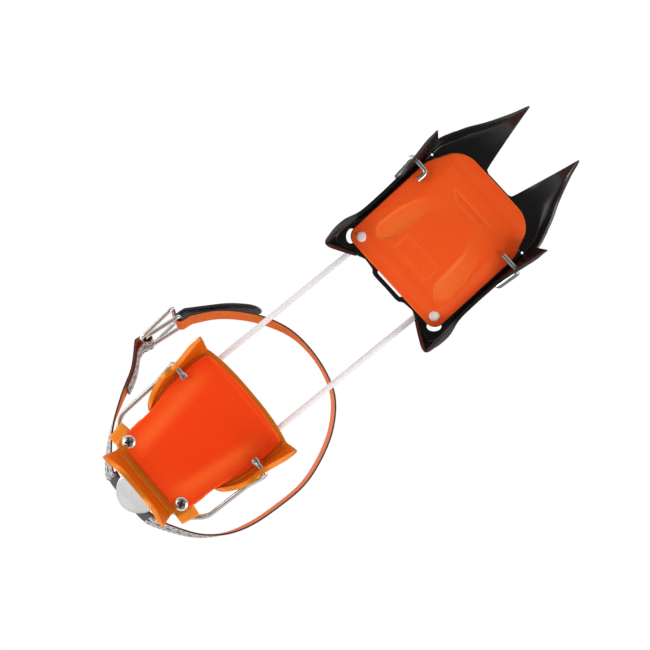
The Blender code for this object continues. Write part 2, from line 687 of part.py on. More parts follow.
def heel_lever(axis):
    """Plastic lever: the side profile crossed with the face outline, slotted for the strap."""
    face = rounded([(-12.5, -LEVER_JAW, 3), (12.5, -LEVER_JAW, 3), (13, 12, 12), (10.6, LEVER_LENGTH, 9.5),
                    (-10.6, LEVER_LENGTH, 9.5), (-13, 12, 12)], 5)
    bm = bmesh.new()
    add_prism(bm, [(-12, y, z) for y, z in face], (26, 0, 0))
    lever = mesh_object("heel_lever", bm, "white_plastic", lever_place(), axis)
    side = rounded([(-5, -LEVER_JAW + 1, 2), (8, -LEVER_JAW, 1.5), (8, -4, 2), (4.5, 3, 3), (3.8, LEVER_LENGTH, 2),
                    (-2.2, LEVER_LENGTH, 3), (-5, 12, 14)], 3)
    bm = bmesh.new()
    add_prism(bm, [(x, -16, z) for x, z in side], (0, 32, 0))
    cutter("lever_profile", bm, lever, lever_place(), "INTERSECT")
    bm = bmesh.new()
    half = STRAP_WIDTH / 2 + 1.2
    add_box(bm, (-0.9, -20, SLOT_ALONG_LEVER - half), (2.3, 20, SLOT_ALONG_LEVER + half))
    add_turned(bm, [(WIRE_RADIUS + 0.3, -20), (WIRE_RADIUS + 0.3, 20)], (0, 0, 0), "Y", 12)
    cutter("lever_holes", bm, lever, lever_place())


# ---------------------------------------------------------------- ankle strap

# Plan of the loop in the heel half's X and Y: from the sleeve round the wearer's left side to the
# buckle, and from the sleeve to the buckle on the right
STRAP_LEFT = [(-62.5, 21.5), (-54.5, 36), (-45, 48.4), (-31.5, 57.8), (-15.5, 63), (3, 65), (24, 65),
              (42.5, 59.8), (60.4, 50.3), (74, 36.8), (80.2, 22), (82.3, 4.3), (80.2, -12.4),
              (73, -28), (63.5, -40.6), (52, -51)]
STRAP_RIGHT = [(-63.5, -17.5), (-57, -26.5), (-44, -38.5), (-27, -48.8), (-11, -57)]
BUCKLE_REAR = Vector((9.0, -65.4))
BUCKLE_FRONT = Vector((33.0, -62.0))
SEWN_END = [(-5, -56.8), (-14, -52.3)]
TAIL = [(49, -57), (60, -49.6), (68.5, -42), (75.5, -34)]
RING_BAR = 1.3
TURN_RADIUS = RING_BAR + GAP + STRAP_THICKNESS / 2 + 0.3


def slot_spot():
    """Where the strap passes through the lever, in the heel half."""
    return HEEL.inverted() @ lever_place() @ Vector((0.7, 0, SLOT_ALONG_LEVER))


def strap_height(x):
    """The loop sinks a little from the lever to its front."""
    return slot_spot().z - STRAP_DROP_TO_FRONT * (x - slot_spot().x) / 145


def strap_width_direction(x):
    """Across the webbing: in line with the lever at the rear, nearly upright in front."""
    share = min(1.0, max(0.0, (x - slot_spot().x) / 45))
    lean = Vector((-sin(radians(LEVER_LEAN)), 0, cos(radians(LEVER_LEAN))))
    return lean.lerp(Vector(FRONT_LEAN), share).normalized()


def band(name, plan, look, parent, thickness=STRAP_THICKNESS):
    """Webbing on edge along a plan of (x, y) points in the heel half."""
    bm = bmesh.new()
    rings = []
    for i, spot in enumerate(plan):
        ahead = Vector(plan[min(i + 1, len(plan) - 1)]) - Vector(plan[max(i - 1, 0)])
        across = strap_width_direction(spot[0])
        centre = Vector((spot[0], spot[1], strap_height(spot[0])))
        normal = Vector((ahead.x, ahead.y, 0)).cross(across).normalized() * thickness / 2
        across *= STRAP_WIDTH / 2
        corners = [centre - across - normal, centre + across - normal, centre + across + normal,
                   centre - across + normal]
        rings.append([bm.verts.new(p) for p in corners])
    for low, high in zip(rings, rings[1:]):
        for i in range(4):
            j = (i + 1) % 4
            bm.faces.new((low[i], low[j], high[j], high[i]))
    bm.faces.new(rings[0][::-1])
    bm.faces.new(rings[-1])
    return mesh_object(name, bm, look, HEEL, parent)


def turn_round(centre, start, sweep=180, steps=6):
    """Plan points of a half turn round a ring's bar."""
    angles = [radians(start + sweep * k / steps) for k in range(steps + 1)]
    return [centre + TURN_RADIUS * Vector((cos(a), sin(a))) for a in angles]


def smooth_plan(points):
    return [p.xy for p in smooth([(*p, 0) for p in points], 3)]


def ankle_strap(loop, lever_axis):
    """Sleeve in the lever, the short and the long strap, the tail, and the buckle's two rings."""
    spot = slot_spot()
    ends = [(spot.x + 1, LEVER_Y - SLEEVE_HALF), (spot.x, LEVER_Y - 14)]
    sleeve = ends + [(x, 2 * LEVER_Y - y) for x, y in reversed(ends)]
    band("strap_sleeve", sleeve, "black_webbing", lever_axis)
    along = (BUCKLE_FRONT - BUCKLE_REAR).normalized()
    outward = Vector((along.y, -along.x))
    heading = degrees(atan2(along.y, along.x))
    wrap = outward * TURN_RADIUS
    plan = smooth_plan(STRAP_RIGHT + [BUCKLE_REAR + wrap - along * 7])
    plan += turn_round(BUCKLE_REAR, heading - 90)
    plan += smooth_plan([BUCKLE_REAR - wrap - along * 6] + SEWN_END)
    band("strap_short", plan, "strap_webbing", loop)
    plan = smooth_plan(STRAP_LEFT + [BUCKLE_FRONT - wrap + along * 6])
    plan += turn_round(BUCKLE_FRONT, heading + 90)
    free_end = smooth_plan([BUCKLE_FRONT + wrap + along * 5] + TAIL)
    webbing, tip = free_end[:5], free_end[5:]
    joint = webbing[-1] + (tip[0] - webbing[-1]).normalized() * TIP_JOINT_GAP
    band("strap_long", plan + webbing, "strap_webbing", loop)
    band("strap_tail", [joint] + tip, "black_webbing", loop, TIP_THICKNESS)
    buckle(loop, along, outward)


def buckle(loop, along, outward):
    """Two oblong rings on the sewn end: the strap wraps the first, the second lies over it."""
    half = STRAP_WIDTH / 2 + RING_BAR + 0.9
    ring("buckle_ring_inner", BUCKLE_REAR, BUCKLE_FRONT, half, loop)
    rear = BUCKLE_REAR - along * 3.6
    axis = pivot("buckle_ring_pivot", HEEL @ Vector((rear.x, rear.y, strap_height(rear.x))), loop)
    front = BUCKLE_FRONT + outward * 5.4 - along * 1.5
    ring("buckle_ring_outer", rear, front, half + 2 * RING_BAR + 2 * GAP, axis)


def ring(name, rear, front, half, parent):
    """An oblong wire ring with its ends' bars in line with the webbing's width."""
    across = strap_width_direction(rear.x) * half
    base = Vector((*rear, strap_height(rear.x)))
    far = Vector((*front, strap_height(front.x)))
    corners = [base - across, base + across, far + across, far - across]
    wire(name, closed_bends(corners, 3.0), RING_BAR, "bright_steel", HEEL, parent, closed=True)


def closed_bends(corners, radius, steps=4):
    """A closed path with rounded corners."""
    path = []
    count = len(corners)
    for i, here in enumerate(corners):
        back = (corners[i - 1] - here).normalized() * radius
        on = (corners[(i + 1) % count] - here).normalized() * radius
        for k in range(steps + 1):
            t = k / steps
            path.append((here + back).lerp(here, t).lerp(here.lerp(here + on, t), t))
    return path


# ---------------------------------------------------------------- assembly


def clear():
    for old in list(bpy.data.objects):
        bpy.data.objects.remove(old)


def main():
    clear()
    front_frame()
    front_plate()
    front_rivets()
    toe_bail()
    adjuster_rails()
    slide, fold_front, fold_heel = link_pivots()
    adjuster(slide)
    cords(slide, fold_front, fold_heel)
    heel_frame(fold_heel)
    heel_plate(fold_heel)
    heel_screws(fold_heel)
    cord_posts(fold_heel)
    bail_axis = heel_bail(fold_heel)
    strap_axis, lever_axis = lever_pivots(bail_axis)
    heel_lever(lever_axis)
    ankle_strap(strap_axis, lever_axis)


main()
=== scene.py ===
"""Looks of a touring crampon: steel front half, aluminium heel half, cord link and ankle strap.

Helper functions take millimetres in the frame of one half; finished meshes are in metres.
"""

from math import atan2, cos, degrees, pi, radians, sin

import bmesh
import bpy
import numpy as np
from mathutils import Matrix, Vector


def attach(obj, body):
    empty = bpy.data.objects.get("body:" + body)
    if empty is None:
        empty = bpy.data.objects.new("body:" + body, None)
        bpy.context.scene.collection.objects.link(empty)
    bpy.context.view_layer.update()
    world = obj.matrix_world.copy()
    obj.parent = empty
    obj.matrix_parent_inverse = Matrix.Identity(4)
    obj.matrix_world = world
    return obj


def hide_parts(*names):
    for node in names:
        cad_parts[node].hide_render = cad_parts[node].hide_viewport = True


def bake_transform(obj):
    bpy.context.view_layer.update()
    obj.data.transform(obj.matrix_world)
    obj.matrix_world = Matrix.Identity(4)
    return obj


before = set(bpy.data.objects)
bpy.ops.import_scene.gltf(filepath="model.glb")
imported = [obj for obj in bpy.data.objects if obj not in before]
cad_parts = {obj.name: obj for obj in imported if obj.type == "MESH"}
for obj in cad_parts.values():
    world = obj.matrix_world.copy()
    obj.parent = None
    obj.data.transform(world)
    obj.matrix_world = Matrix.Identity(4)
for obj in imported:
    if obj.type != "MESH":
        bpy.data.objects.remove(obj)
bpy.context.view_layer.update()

MM = 0.001
FRONT = Matrix.Translation((88.5, 3.2, 0)) @ Matrix.Rotation(radians(-2.3), 4, "Z")
HEEL = Matrix.Translation((-101.5, 0.8, 0))
PLATFORM_Z = 34.0
STEEL = 2.0
ALUMINIUM = 3.0
WIRE_RADIUS = 1.6
GAP = 0.3
PLATE_TOP = PLATFORM_Z - GAP
PLATE_LOW = PLATE_TOP - 2.5
FRONT_RIVET = (-38.0, 32.2)
HEEL_SCREW = (-34.8, 24.2)
RIVET_HOLE = 2.1
SCREW_HOLE = 2.6
WIRE_HOLE = 1.9
LEVER_X = -46.0
LEVER_Y = 2.0
LEVER_Z = 52.0
LEVER_LEAN = radians(30)
TOE_PIVOT = (16.7, 26.5)
HEEL_PIVOT = (16.0, 26.0)
SIDES = (("left", 1), ("right", -1))


# ---------------------------------------------------------------- curves


def smooth(points, per_span):
    """A Catmull-Rom curve through points of any dimension."""
    points = [np.array(p, float) for p in points]
    ends = [points[0] * 2 - points[1], *points, points[-1] * 2 - points[-2]]
    path = []
    for a, b, c, d in zip(ends, ends[1:], ends[2:], ends[3:]):
        for k in range(per_span):
            t = k / per_span
            path.append(0.5 * (2 * b + (c - a) * t + (2 * a - 5 * b + 4 * c - d) * t * t
                               + (3 * b - a - 3 * c + d) * t ** 3))
    path.append(points[-1])
    return path


def arc(start, corner, end, steps):
    """A curve from start to end that turns at a corner."""
    shares = [k / steps for k in range(steps + 1)]
    return [start.lerp(corner, t).lerp(corner.lerp(end, t), t) for t in shares]


def bent(points, radius):
    """A path through 3-D points whose inner corners are curves of about the given radius."""
    points = [Vector(p) for p in points]
    path = [points[0]]
    for before, here, after in zip(points, points[1:], points[2:]):
        back, on = (before - here).normalized(), (after - here).normalized()
        half = back.angle(on) / 2
        reach = min(radius / sin(half) * cos(half), 0.45 * min((before - here).length, (after - here).length))
        path += arc(here + back * reach, here, here + on * reach, 8)
    path.append(points[-1])
    return path


def rounded(corners, steps=8):
    """Corner points (x, y, radius) as an outline whose corners are arcs."""
    outline = []
    count = len(corners)
    for i, (x, y, radius) in enumerate(corners):
        here = Vector((x, y))
        before = (Vector(corners[i - 1][:2]) - here).normalized()
        after = (Vector(corners[(i + 1) % count][:2]) - here).normalized()
        if radius == 0:
            outline.append(here)
            continue
        half = before.angle(after) / 2
        reach = radius / sin(half) * cos(half)
        start, end = here + before * reach, here + after * reach
        centre = here + (before + after).normalized() * radius / sin(half)
        first, last = start - centre, end - centre
        turn = first.angle_signed(last)
        for k in range(steps + 1):
            outline.append(centre + Matrix.Rotation(-turn * k / steps, 2) @ first)
    return outline


def rectangle(x_low, x_high, y_low, y_high, radius, steps=8):
    """A rectangle's outline with rounded corners."""
    corners = [(x_low, y_low), (x_high, y_low), (x_high, y_high), (x_low, y_high)]
    return rounded([(*corner, radius) for corner in corners], steps)


def spaced(path, step, closed=False):
    """The same path with points a step apart."""
    points = np.array([tuple(p) for p in path], float)
    if closed:
        points = np.vstack([points, points[:1]])
    lengths = np.linalg.norm(np.diff(points, axis=0), axis=1)
    along = np.concatenate([[0], np.cumsum(lengths)])
    count = max(2, int(round(along[-1] / step)))
    wanted = np.linspace(0, along[-1], count + 1)
    if closed:
        wanted = wanted[:-1]
    return np.stack([np.interp(wanted, along, points[:, i]) for i in range(points.shape[1])], axis=1)


def mirrored(point):
    return Vector((point[0], -point[1], point[2]))


def ramp_up(value, low, high):
    """A smooth 0..1 step between two values."""
    t = min(1.0, max(0.0, (value - low) / (high - low)))
    return t * t * (3 - 2 * t)


def inside_of(value, low, high, soft):
    """1 between two values and 0 outside them, with soft ends."""
    rise = ramp_up(value, low - soft / 2, low + soft / 2)
    return rise * (1 - ramp_up(value, high - soft / 2, high + soft / 2))


# ---------------------------------------------------------------- meshes


def placed(name, data):
    """A new object in the scene."""
    made = bpy.data.objects.new(name, data)
    bpy.context.scene.collection.objects.link(made)
    return made


def add_object(name, data, look, body, slot, *replaced):
    """A finished piece that rides on a body and stands for CAD nodes."""
    made = placed(name, data)
    if not data.materials:
        data.materials.append(look)
    if body:
        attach(made, body)
    if replaced:
        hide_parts(*replaced)
    return made


def shaded(data, sharp):
    """Smooth shading with edges sharper than an angle kept."""
    data.shade_smooth()
    data.set_sharp_from_angle(angle=radians(sharp))
    return data


def mesh_from(bm, name, place, sharp=40):
    """A mesh in metres from a bmesh in millimetres."""
    bmesh.ops.transform(bm, matrix=Matrix.Scale(MM, 4) @ place, verts=bm.verts)
    bmesh.ops.recalc_face_normals(bm, faces=bm.faces)
    data = bpy.data.meshes.new(name)
    bm.to_mesh(data)
    bm.free()
    return shaded(data, sharp)


def cutter(bm, place):
    """A temporary object to cut with."""
    return placed("cutter", mesh_from(bm, "cutter", place))


def modified(data, name, steps, sharp=40, weight=None):
    """A new mesh: data after a list of (modifier type, settings). Objects that cut are used up.

    weight(point) fills the group "weight".
    """
    holder = placed("holder", data)
    if weight:
        group = holder.vertex_groups.new(name="weight")
        for vertex in data.vertices:
            group.add([vertex.index], weight(vertex.co), "REPLACE")
    for kind, settings in steps:
        modifier = holder.modifiers.new(kind, kind)
        for key, value in settings.items():
            setattr(modifier, key, value)
    depsgraph = bpy.context.evaluated_depsgraph_get()
    result = bpy.data.meshes.new_from_object(holder.evaluated_get(depsgraph), depsgraph=depsgraph)
    for used in [holder] + [settings["object"] for _, settings in steps if "object" in settings]:
        bpy.data.objects.remove(used)
    result.name = name
    return shaded(result, sharp)


def cut(tool):
    return ("BOOLEAN", {"operation": "DIFFERENCE", "solver": "EXACT", "object": tool})


def soft_edges(width, segments=2, angle=40):
    """A bevel by width in millimetres."""
    return ("BEVEL", {"width": width * MM, "segments": segments, "limit_method": "ANGLE",
                      "angle_limit": radians(angle), "use_clamp_overlap": True})


def join_rings(bm, rings):
    """Faces between closed rings of as many vertices."""
    for low, high in zip(rings, rings[1:]):
        for i in range(len(low)):
            j = (i + 1) % len(low)
            bm.faces.new((low[i], low[j], high[j], high[i]))


def add_turned(bm, profile, spot, axis="Z", segments=48):
    """A solid turned from (radius, height) pairs about an axis through spot."""
    turn = {"Z": Matrix(), "Y": Matrix.Rotation(-pi / 2, 4, "X"), "X": Matrix.Rotation(pi / 2, 4, "Y")}
    rings = []
    for radius, height in profile:
        if radius == 0:
            rings.append([bm.verts.new((0, 0, height))])
            continue
        angles = [2 * pi * i / segments for i in range(segments)]
        rings.append([bm.verts.new((radius * cos(a), radius * sin(a), height)) for a in angles])
    for low, high in zip(rings, rings[1:]):
        for i in range(segments):
            j = (i + 1) % segments
            corners = [low[i % len(low)], low[j % len(low)], high[j % len(high)], high[i % len(high)]]
            bm.faces.new(list(dict.fromkeys(corners)))
    for ring, flip in ((rings[0], True), (rings[-1], False)):
        if len(ring) > 1:
            bm.faces.new(ring[::-1] if flip else ring)
    made = [v for ring in rings for v in ring]
    bmesh.ops.transform(bm, matrix=Matrix.Translation(spot) @ turn[axis], verts=made)
    return made


def add_prism(bm, outline, low_z, high_z):
    """An upright prism on an outline of flat points."""
    low = [bm.verts.new((p[0], p[1], low_z)) for p in outline]
    high = [bm.verts.new((p[0], p[1], high_z)) for p in outline]
    bm.faces.new(low[::-1])
    bm.faces.new(high)
    join_rings(bm, [low, high])


def skin(rings, around, closed=False):
    """Faces between rings of numbered points, with two end faces unless the last ring meets the first."""
    faces = []
    for i in range(rings if closed else rings - 1):
        k = (i + 1) % rings
        for j in range(around):
            m = (j + 1) % around
            faces.append((i * around + j, i * around + m, k * around + m, k * around + j))
    if not closed:
        faces += [tuple(reversed(range(around))), tuple(range((rings - 1) * around, rings * around))]
    return faces


def tube(name, path, radius, segments=20, closed=False, shape=None):
    """A mesh tube in metres along world millimetres.

    shape(index, angle) gives the half width and half height at a point of the path instead of the radius.
    """
    points = np.array([tuple(p) for p in path], float)
    count = len(points)
    if closed:
        tangents = np.roll(points, -1, axis=0) - np.roll(points, 1, axis=0)
    else:
        tangents = np.gradient(points, axis=0)
    tangents /= np.linalg.norm(tangents, axis=1)[:, None]
    side = np.cross(tangents[0], (0, 0, 1))
    if np.linalg.norm(side) < 0.1:
        side = np.cross(tangents[0], (1, 0, 0))
    side /= np.linalg.norm(side)
    sides = []
    for tangent in tangents:
        side = side - tangent * np.dot(side, tangent)
        side /= np.linalg.norm(side)
        sides.append(side)
    sides = np.array(sides)
    ups = np.cross(tangents, sides)
    if closed:
        drift = atan2(np.dot(np.cross(sides[-1], sides[0]), tangents[0]), np.dot(sides[-1], sides[0]))
        twist = drift * np.arange(count) / count
        sides, ups = (sides * np.cos(twist)[:, None] + ups * np.sin(twist)[:, None],
                      ups * np.cos(twist)[:, None] - sides * np.sin(twist)[:, None])
    angles = np.linspace(0, 2 * pi, segments, endpoint=False)
    verts = []
    for i in range(count):
        for a in angles:
            across, rise = (radius, radius) if shape is None else shape(i, a)
            verts.append((points[i] + sides[i] * across * cos(a) + ups[i] * rise * sin(a)) * MM)
    data = bpy.data.meshes.new(name)
    data.from_pydata([tuple(v) for v in verts], [], skin(count, segments, closed))
    data.validate()
    return shaded(data, 50)


# ---------------------------------------------------------------- materials


def math_node(tree, operation, first, second=0.0):
    made = tree.nodes.new("ShaderNodeMath")
    made.operation = operation
    for value, socket in ((first, made.inputs[0]), (second, made.inputs[1])):
        if isinstance(value, (int, float)):
            socket.default_value = value
        else:
            tree.links.new(value, socket)
    return made.outputs[0]


class Look:
    """A Principled material with short helpers for its node tree."""

    def __init__(self, name, colour, roughness, metallic=0.0, **sockets):
        self.material = bpy.data.materials.new(name)
        self.material.use_nodes = True
        self.nodes = self.material.node_tree.nodes
        self.links = self.material.node_tree.links
        self.shader = self.nodes["Principled BSDF"]
        self.put("Base Color", (*colour, 1))
        self.put("Roughness", roughness)
        self.put("Metallic", metallic)
        for key, value in sockets.items():
            self.put(key.replace("_", " "), value)

    def put(self, socket, value):
        self.shader.inputs[socket].default_value = value

    def node(self, kind, **settings):
        made = self.nodes.new(kind)
        for key, value in settings.items():
            if key in made.inputs:
                made.inputs[key].default_value = value
            else:
                setattr(made, key, value)
        return made

    def spot(self, kind="Object", scale=(1, 1, 1)):
        """Coordinates in metres at rest, or UV, stretched by scale."""
        place = self.node("ShaderNodeTexCoord")
        moved = self.node("ShaderNodeMapping", Scale=scale)
        self.links.new(place.outputs[kind], moved.inputs["Vector"])
        return moved.outputs["Vector"]

    def noise(self, scale, detail, where=None):
        made = self.node("ShaderNodeTexNoise", Scale=scale, Detail=detail, Roughness=0.55)
        self.links.new(where or self.spot(), made.inputs["Vector"])
        return made.outputs["Fac"]

    def math(self, operation, first, second=0.0):
        return math_node(self.material.node_tree, operation, first, second)

    def between(self, value, low, high):
        """Maps 0..1 to low..high."""
        made = self.node("ShaderNodeMapRange", **{"To Min": low, "To Max": high})
        self.links.new(value, made.inputs["Value"])
        return made.outputs["Result"]

    def mixed(self, value, first, second):
        """A colour between two by a 0..1 value."""
        made = self.node("ShaderNodeMix", data_type="RGBA")
        self.links.new(value, made.inputs[0])
        for colour, socket in ((first, made.inputs[6]), (second, made.inputs[7])):
            if isinstance(colour, tuple):
                socket.default_value = (*colour, 1)
            else:
                self.links.new(colour, socket)
        return made.outputs[2]

    def ramp(self, value, *stops):
        """Greys from a 0..1 value, by two stops of (position, level)."""
        made = self.node("ShaderNodeValToRGB")
        for element, (position, level) in zip(made.color_ramp.elements, stops):
            element.position = position
            element.color = (level, level, level, 1)
        self.links.new(value, made.inputs["Fac"])
        return made.outputs["Color"]

    def bump(self, height, distance):
        """Bump by a distance in millimetres, on top of any earlier bump."""
        made = self.node("ShaderNodeBump", Distance=distance * MM, Strength=1.0)
        self.links.new(height, made.inputs["Height"])
        previous = self.shader.inputs["Normal"].links
        if previous:
            self.links.new(previous[0].from_socket, made.inputs["Normal"])
        self.links.new(made.outputs["Normal"], self.shader.inputs["Normal"])

    def drive(self, socket, value):
        self.links.new(value, self.shader.inputs[socket])

    def stain(self, scale, detail, dark, light):
        """Noise between two base colours."""
        self.drive("Base Color", self.mixed(self.noise(scale, detail), dark, light))

    def shine(self, scale, detail, low, high):
        """Noise between two roughnesses."""
        self.drive("Roughness", self.between(self.noise(scale, detail), low, high))

    def grain(self, scale, detail, depth):
        """Noise as a bump by a depth in millimetres."""
        self.bump(self.noise(scale, detail), depth)

    def weave(self):
        """Ribs across webbing, with UV along and across it in metres and 0..1, and its fuzz."""
        bands = self.node("ShaderNodeTexWave", wave_type="BANDS", bands_direction="Y", Scale=3.8,
                          Distortion=0.3)
        self.links.new(self.spot("UV"), bands.inputs["Vector"])
        self.bump(bands.outputs["Fac"], 0.06)
        self.grain(2600, 2, 0.03)


def shade(colour, factor):
    return tuple(min(1.0, c * factor) for c in colour)


def black_steel():
    """Glossy black coating on steel, faintly orange-peeled, a little rubbed."""
    colour = (0.0045, 0.0042, 0.0045)
    look = Look("black coated steel", colour, 0.26, Coat_Weight=0.15, Coat_Roughness=0.15,
                Specular_IOR_Level=0.36)
    rub = look.ramp(look.noise(90, 6), (0.60, 0.0), (0.74, 1.0))
    look.drive("Base Color", look.mixed(rub, colour, (0.011, 0.0085, 0.008)))
    look.shine(260, 4, 0.17, 0.36)
    look.grain(1400, 2, 0.012)
    look.grain(60, 2, 0.10)
    return look.material


def orange_plastic(name, colour, pale):
    """Moulded plastic with a fine spark-eroded grain, and a painted highlight: paler on slopes and where the
    plate's relief paints it.
    """
    look = Look(name, colour, 0.5, Subsurface_Weight=0.05, Specular_IOR_Level=0.14)
    look.put("Subsurface Radius", (0.004, 0.0012, 0.0004))
    # Painted highlight: the base colour turns towards the pale one where the surface slopes away from level.
    normal = look.node("ShaderNodeSeparateXYZ")
    look.links.new(look.node("ShaderNodeNewGeometry").outputs["Normal"], normal.inputs[0])
    slope = look.math("SUBTRACT", 1.0, look.math("ABSOLUTE", normal.outputs["Z"]))
    slope = look.math("MINIMUM", 0.6, look.math("MULTIPLY", slope, 9.0))
    # Painted highlight: the pale colour also comes in where the plate's mesh carries it.
    painted_highlight = look.node("ShaderNodeAttribute", attribute_name="painted_highlight").outputs["Fac"]
    slope = look.math("MINIMUM", 1.0, look.math("ADD", slope, painted_highlight))
    tone = look.mixed(look.noise(28, 4), shade(colour, 0.94), shade(colour, 1.05))
    look.drive("Base Color", look.mixed(slope, tone, pale))
    look.shine(500, 3, 0.44, 0.56)
    look.grain(3200, 2, 0.010)
    return look.material


def orange_aluminium():
    """Anodised aluminium sheet with the grain of its rolling."""
    colour = (0.86, 0.225, 0.006)
    look = Look("anodised aluminium", colour, 0.36, 0.55, Coat_Weight=0.15, Coat_Roughness=0.2)
    grain = look.noise(60, 5, look.spot(scale=(6, 90, 6)))
    look.stain(45, 4, shade(colour, 0.88), (0.93, 0.29, 0.010))
    look.drive("Roughness", look.between(grain, 0.27, 0.44))
    look.bump(grain, 0.006)
    look.grain(1800, 2, 0.006)
    return look.material


def bright_steel(name, colour, roughness, stains, shine, grain):
    """Bare or plated steel, with faint stains, uneven shine and a fine grain."""
    look = Look(name, colour, roughness, 1.0)
    look.stain(*stains)
    look.shine(*shine)
    look.grain(*grain)
    return look.material


def recess_shade():
    """Dark, noisy colour inside a screw's drive: painted shade in the recess."""
    look = Look("screw recess", (0.06, 0.045, 0.035), 0.5, 0.6)
    look.stain(700, 4, (0.03, 0.024, 0.02), (0.14, 0.10, 0.07))
    look.grain(3000, 2, 0.01)
    return look.material


def white_plastic(name, colour, waxy):
    """Natural nylon: lets some light in, with a soft sheen."""
    look = Look(name, colour, 0.34, Subsurface_Weight=waxy, Coat_Weight=0.15, Coat_Roughness=0.25)
    look.put("Subsurface Radius", (0.006, 0.006, 0.0055))
    look.stain(120, 4, shade(colour, 0.93), shade(colour, 1.05))
    look.shine(400, 3, 0.28, 0.44)
    look.grain(900, 3, 0.02)
    return look.material


def white_cord():
    """Braided polyethylene cord: the strands are in the mesh, the filaments are bump."""
    look = Look("braided cord", (0.74, 0.74, 0.74), 0.62, Sheen_Weight=0.1, Sheen_Roughness=0.5,
                Subsurface_Weight=0.15)
    look.put("Subsurface Radius", (0.002, 0.002, 0.002))
    look.stain(900, 3, (0.76, 0.77, 0.78), (0.84, 0.84, 0.84))
    look.bump(look.noise(2600, 2, look.spot(scale=(0.4, 1.6, 1.6))), 0.02)
    return look.material


def inner_webbing():
    """Orange ribbed side of the strap."""
    look = Look("strap, ribbed side", (0.80, 0.155, 0.012), 0.72, Sheen_Weight=0.05, Sheen_Roughness=0.45,
                Specular_IOR_Level=0.2)
    look.stain(420, 3, (0.70, 0.115, 0.006), (0.88, 0.19, 0.014))
    look.weave()
    return look.material


def outer_webbing():
    """Grey and white patterned side: a light middle with dark dashes along both edges."""
    look = Look("strap, patterned side", (0.6, 0.6, 0.6), 0.74, Sheen_Weight=0.08, Sheen_Roughness=0.45,
                Specular_IOR_Level=0.25)
    place = look.node("ShaderNodeTexCoord")
    split = look.node("ShaderNodeSeparateXYZ")
    look.links.new(place.outputs["UV"], split.inputs[0])
    along, across = split.outputs[0], split.outputs[1]
    middle = look.math("ABSOLUTE", look.math("SUBTRACT", across, 0.5))
    dash = look.math("LESS_THAN", look.math("FRACT", look.math("MULTIPLY", along, 1 / 0.0034)), 0.6)
    band = look.math("MULTIPLY", look.math("GREATER_THAN", middle, 0.30),
                     look.math("LESS_THAN", middle, 0.40))
    selvedge = look.math("GREATER_THAN", middle, 0.455)
    slant = look.math("ADD", look.math("MULTIPLY", along, 1 / 0.0068), look.math("MULTIPLY", across, 1.6))
    fleck = look.math("LESS_THAN", look.math("FRACT", slant), 0.42)
    centre = look.math("MULTIPLY", fleck, look.math("LESS_THAN", middle, 0.09))
    grey = look.math("MULTIPLY", look.math("LESS_THAN", middle, 0.22), look.math("FRACT", slant))
    ground = look.mixed(look.math("MULTIPLY", grey, 0.8), (0.60, 0.60, 0.60), (0.20, 0.205, 0.21))
    dark = look.math("MAXIMUM", look.math("MULTIPLY", dash, band), centre)
    tone = look.mixed(dark, ground, (0.018, 0.018, 0.020))
    edge = look.mixed(selvedge, tone, (0.70, 0.12, 0.01))
    look.drive("Base Color", edge)
    look.weave()
    return look.material


def black_webbing(name, gloss):
    """Black webbing, plain or coated stiff at the strap's tip."""
    look = Look(name, (0.014, 0.014, 0.015), 0.30 if gloss else 0.62, 0.0, Coat_Weight=0.6 if gloss else 0.0,
                Coat_Roughness=0.18, Sheen_Weight=0.0 if gloss else 0.25)
    look.stain(300, 4, (0.008, 0.008, 0.009), (0.030, 0.030, 0.032))
    look.grain(700, 4, 0.08)
    look.grain(2600, 2, 0.03)
    return look.material


BLACK_STEEL = black_steel()
FRONT_PLASTIC = orange_plastic("orange plastic, front", (0.86, 0.094, 0.009), (0.90, 0.185, 0.030))
HEEL_PLASTIC = orange_plastic("orange plastic, heel", (0.83, 0.058, 0.003), (0.88, 0.125, 0.012))
ORANGE_ALUMINIUM = orange_aluminium()
WIRE_STEEL = bright_steel(
    "drawn steel wire", (0.56, 0.55, 0.53), 0.26, (220, 5, (0.44, 0.43, 0.41), (0.66, 0.65, 0.63)),
    (600, 4, 0.18, 0.38), (2600, 3, 0.010))
PLATED_STEEL = bright_steel(
    "plated steel", (0.70, 0.69, 0.67), 0.22, (320, 4, (0.58, 0.57, 0.55), (0.78, 0.77, 0.75)),
    (900, 4, 0.16, 0.34), (3000, 2, 0.006))
RECESS_SHADE = recess_shade()
RIVET_PLASTIC = white_plastic("white rivet plastic", (0.80, 0.78, 0.77), 0.12)
LEVER_PLASTIC = white_plastic("natural nylon", (0.66, 0.66, 0.66), 0.35)
WHITE_CORD = white_cord()
INNER_WEBBING = inner_webbing()
OUTER_WEBBING = outer_webbing()
BLACK_WEBBING = black_webbing("black webbing", False)
TIP_WEBBING = black_webbing("coated strap tip", True)


# ---------------------------------------------------------------- bent sheet metal


PER_SPAN = 5
FOLD_RADIUS = 1.6
BLUNT = 0.985
POINT_ROWS = 9


def fold_column(root, edge, radius=FOLD_RADIUS):
    """Points from just inside a fold, round it, and down to the flange's edge."""
    root, edge = Vector(root), Vector(edge)
    out = Vector((edge.x - root.x, edge.y - root.y, 0))
    if out.length < 0.01:
        out = Vector((0, 0.01, 0))
    down = edge - root
    reach = min(radius, 0.45 * down.length) if down.length > 0.01 else 0.0
    inside = root - out.normalized() * radius
    first = root + down.normalized() * reach if down.length > 0.01 else root
    return arc(inside, root, first, 4) + [first.lerp(edge, k / 3) for k in (1, 2, 3)]


def edge_columns(edge):
    """Flange columns along an edge of (x, y, outward flare in x and y, drop of the flange)."""
    columns = []
    for x, y, flare_x, flare_y, drop in smooth(edge, PER_SPAN):
        low = PLATFORM_Z - max(0.05, drop)
        columns.append(fold_column((x, y, PLATFORM_Z), (x + flare_x, y + flare_y, low)))
    return columns


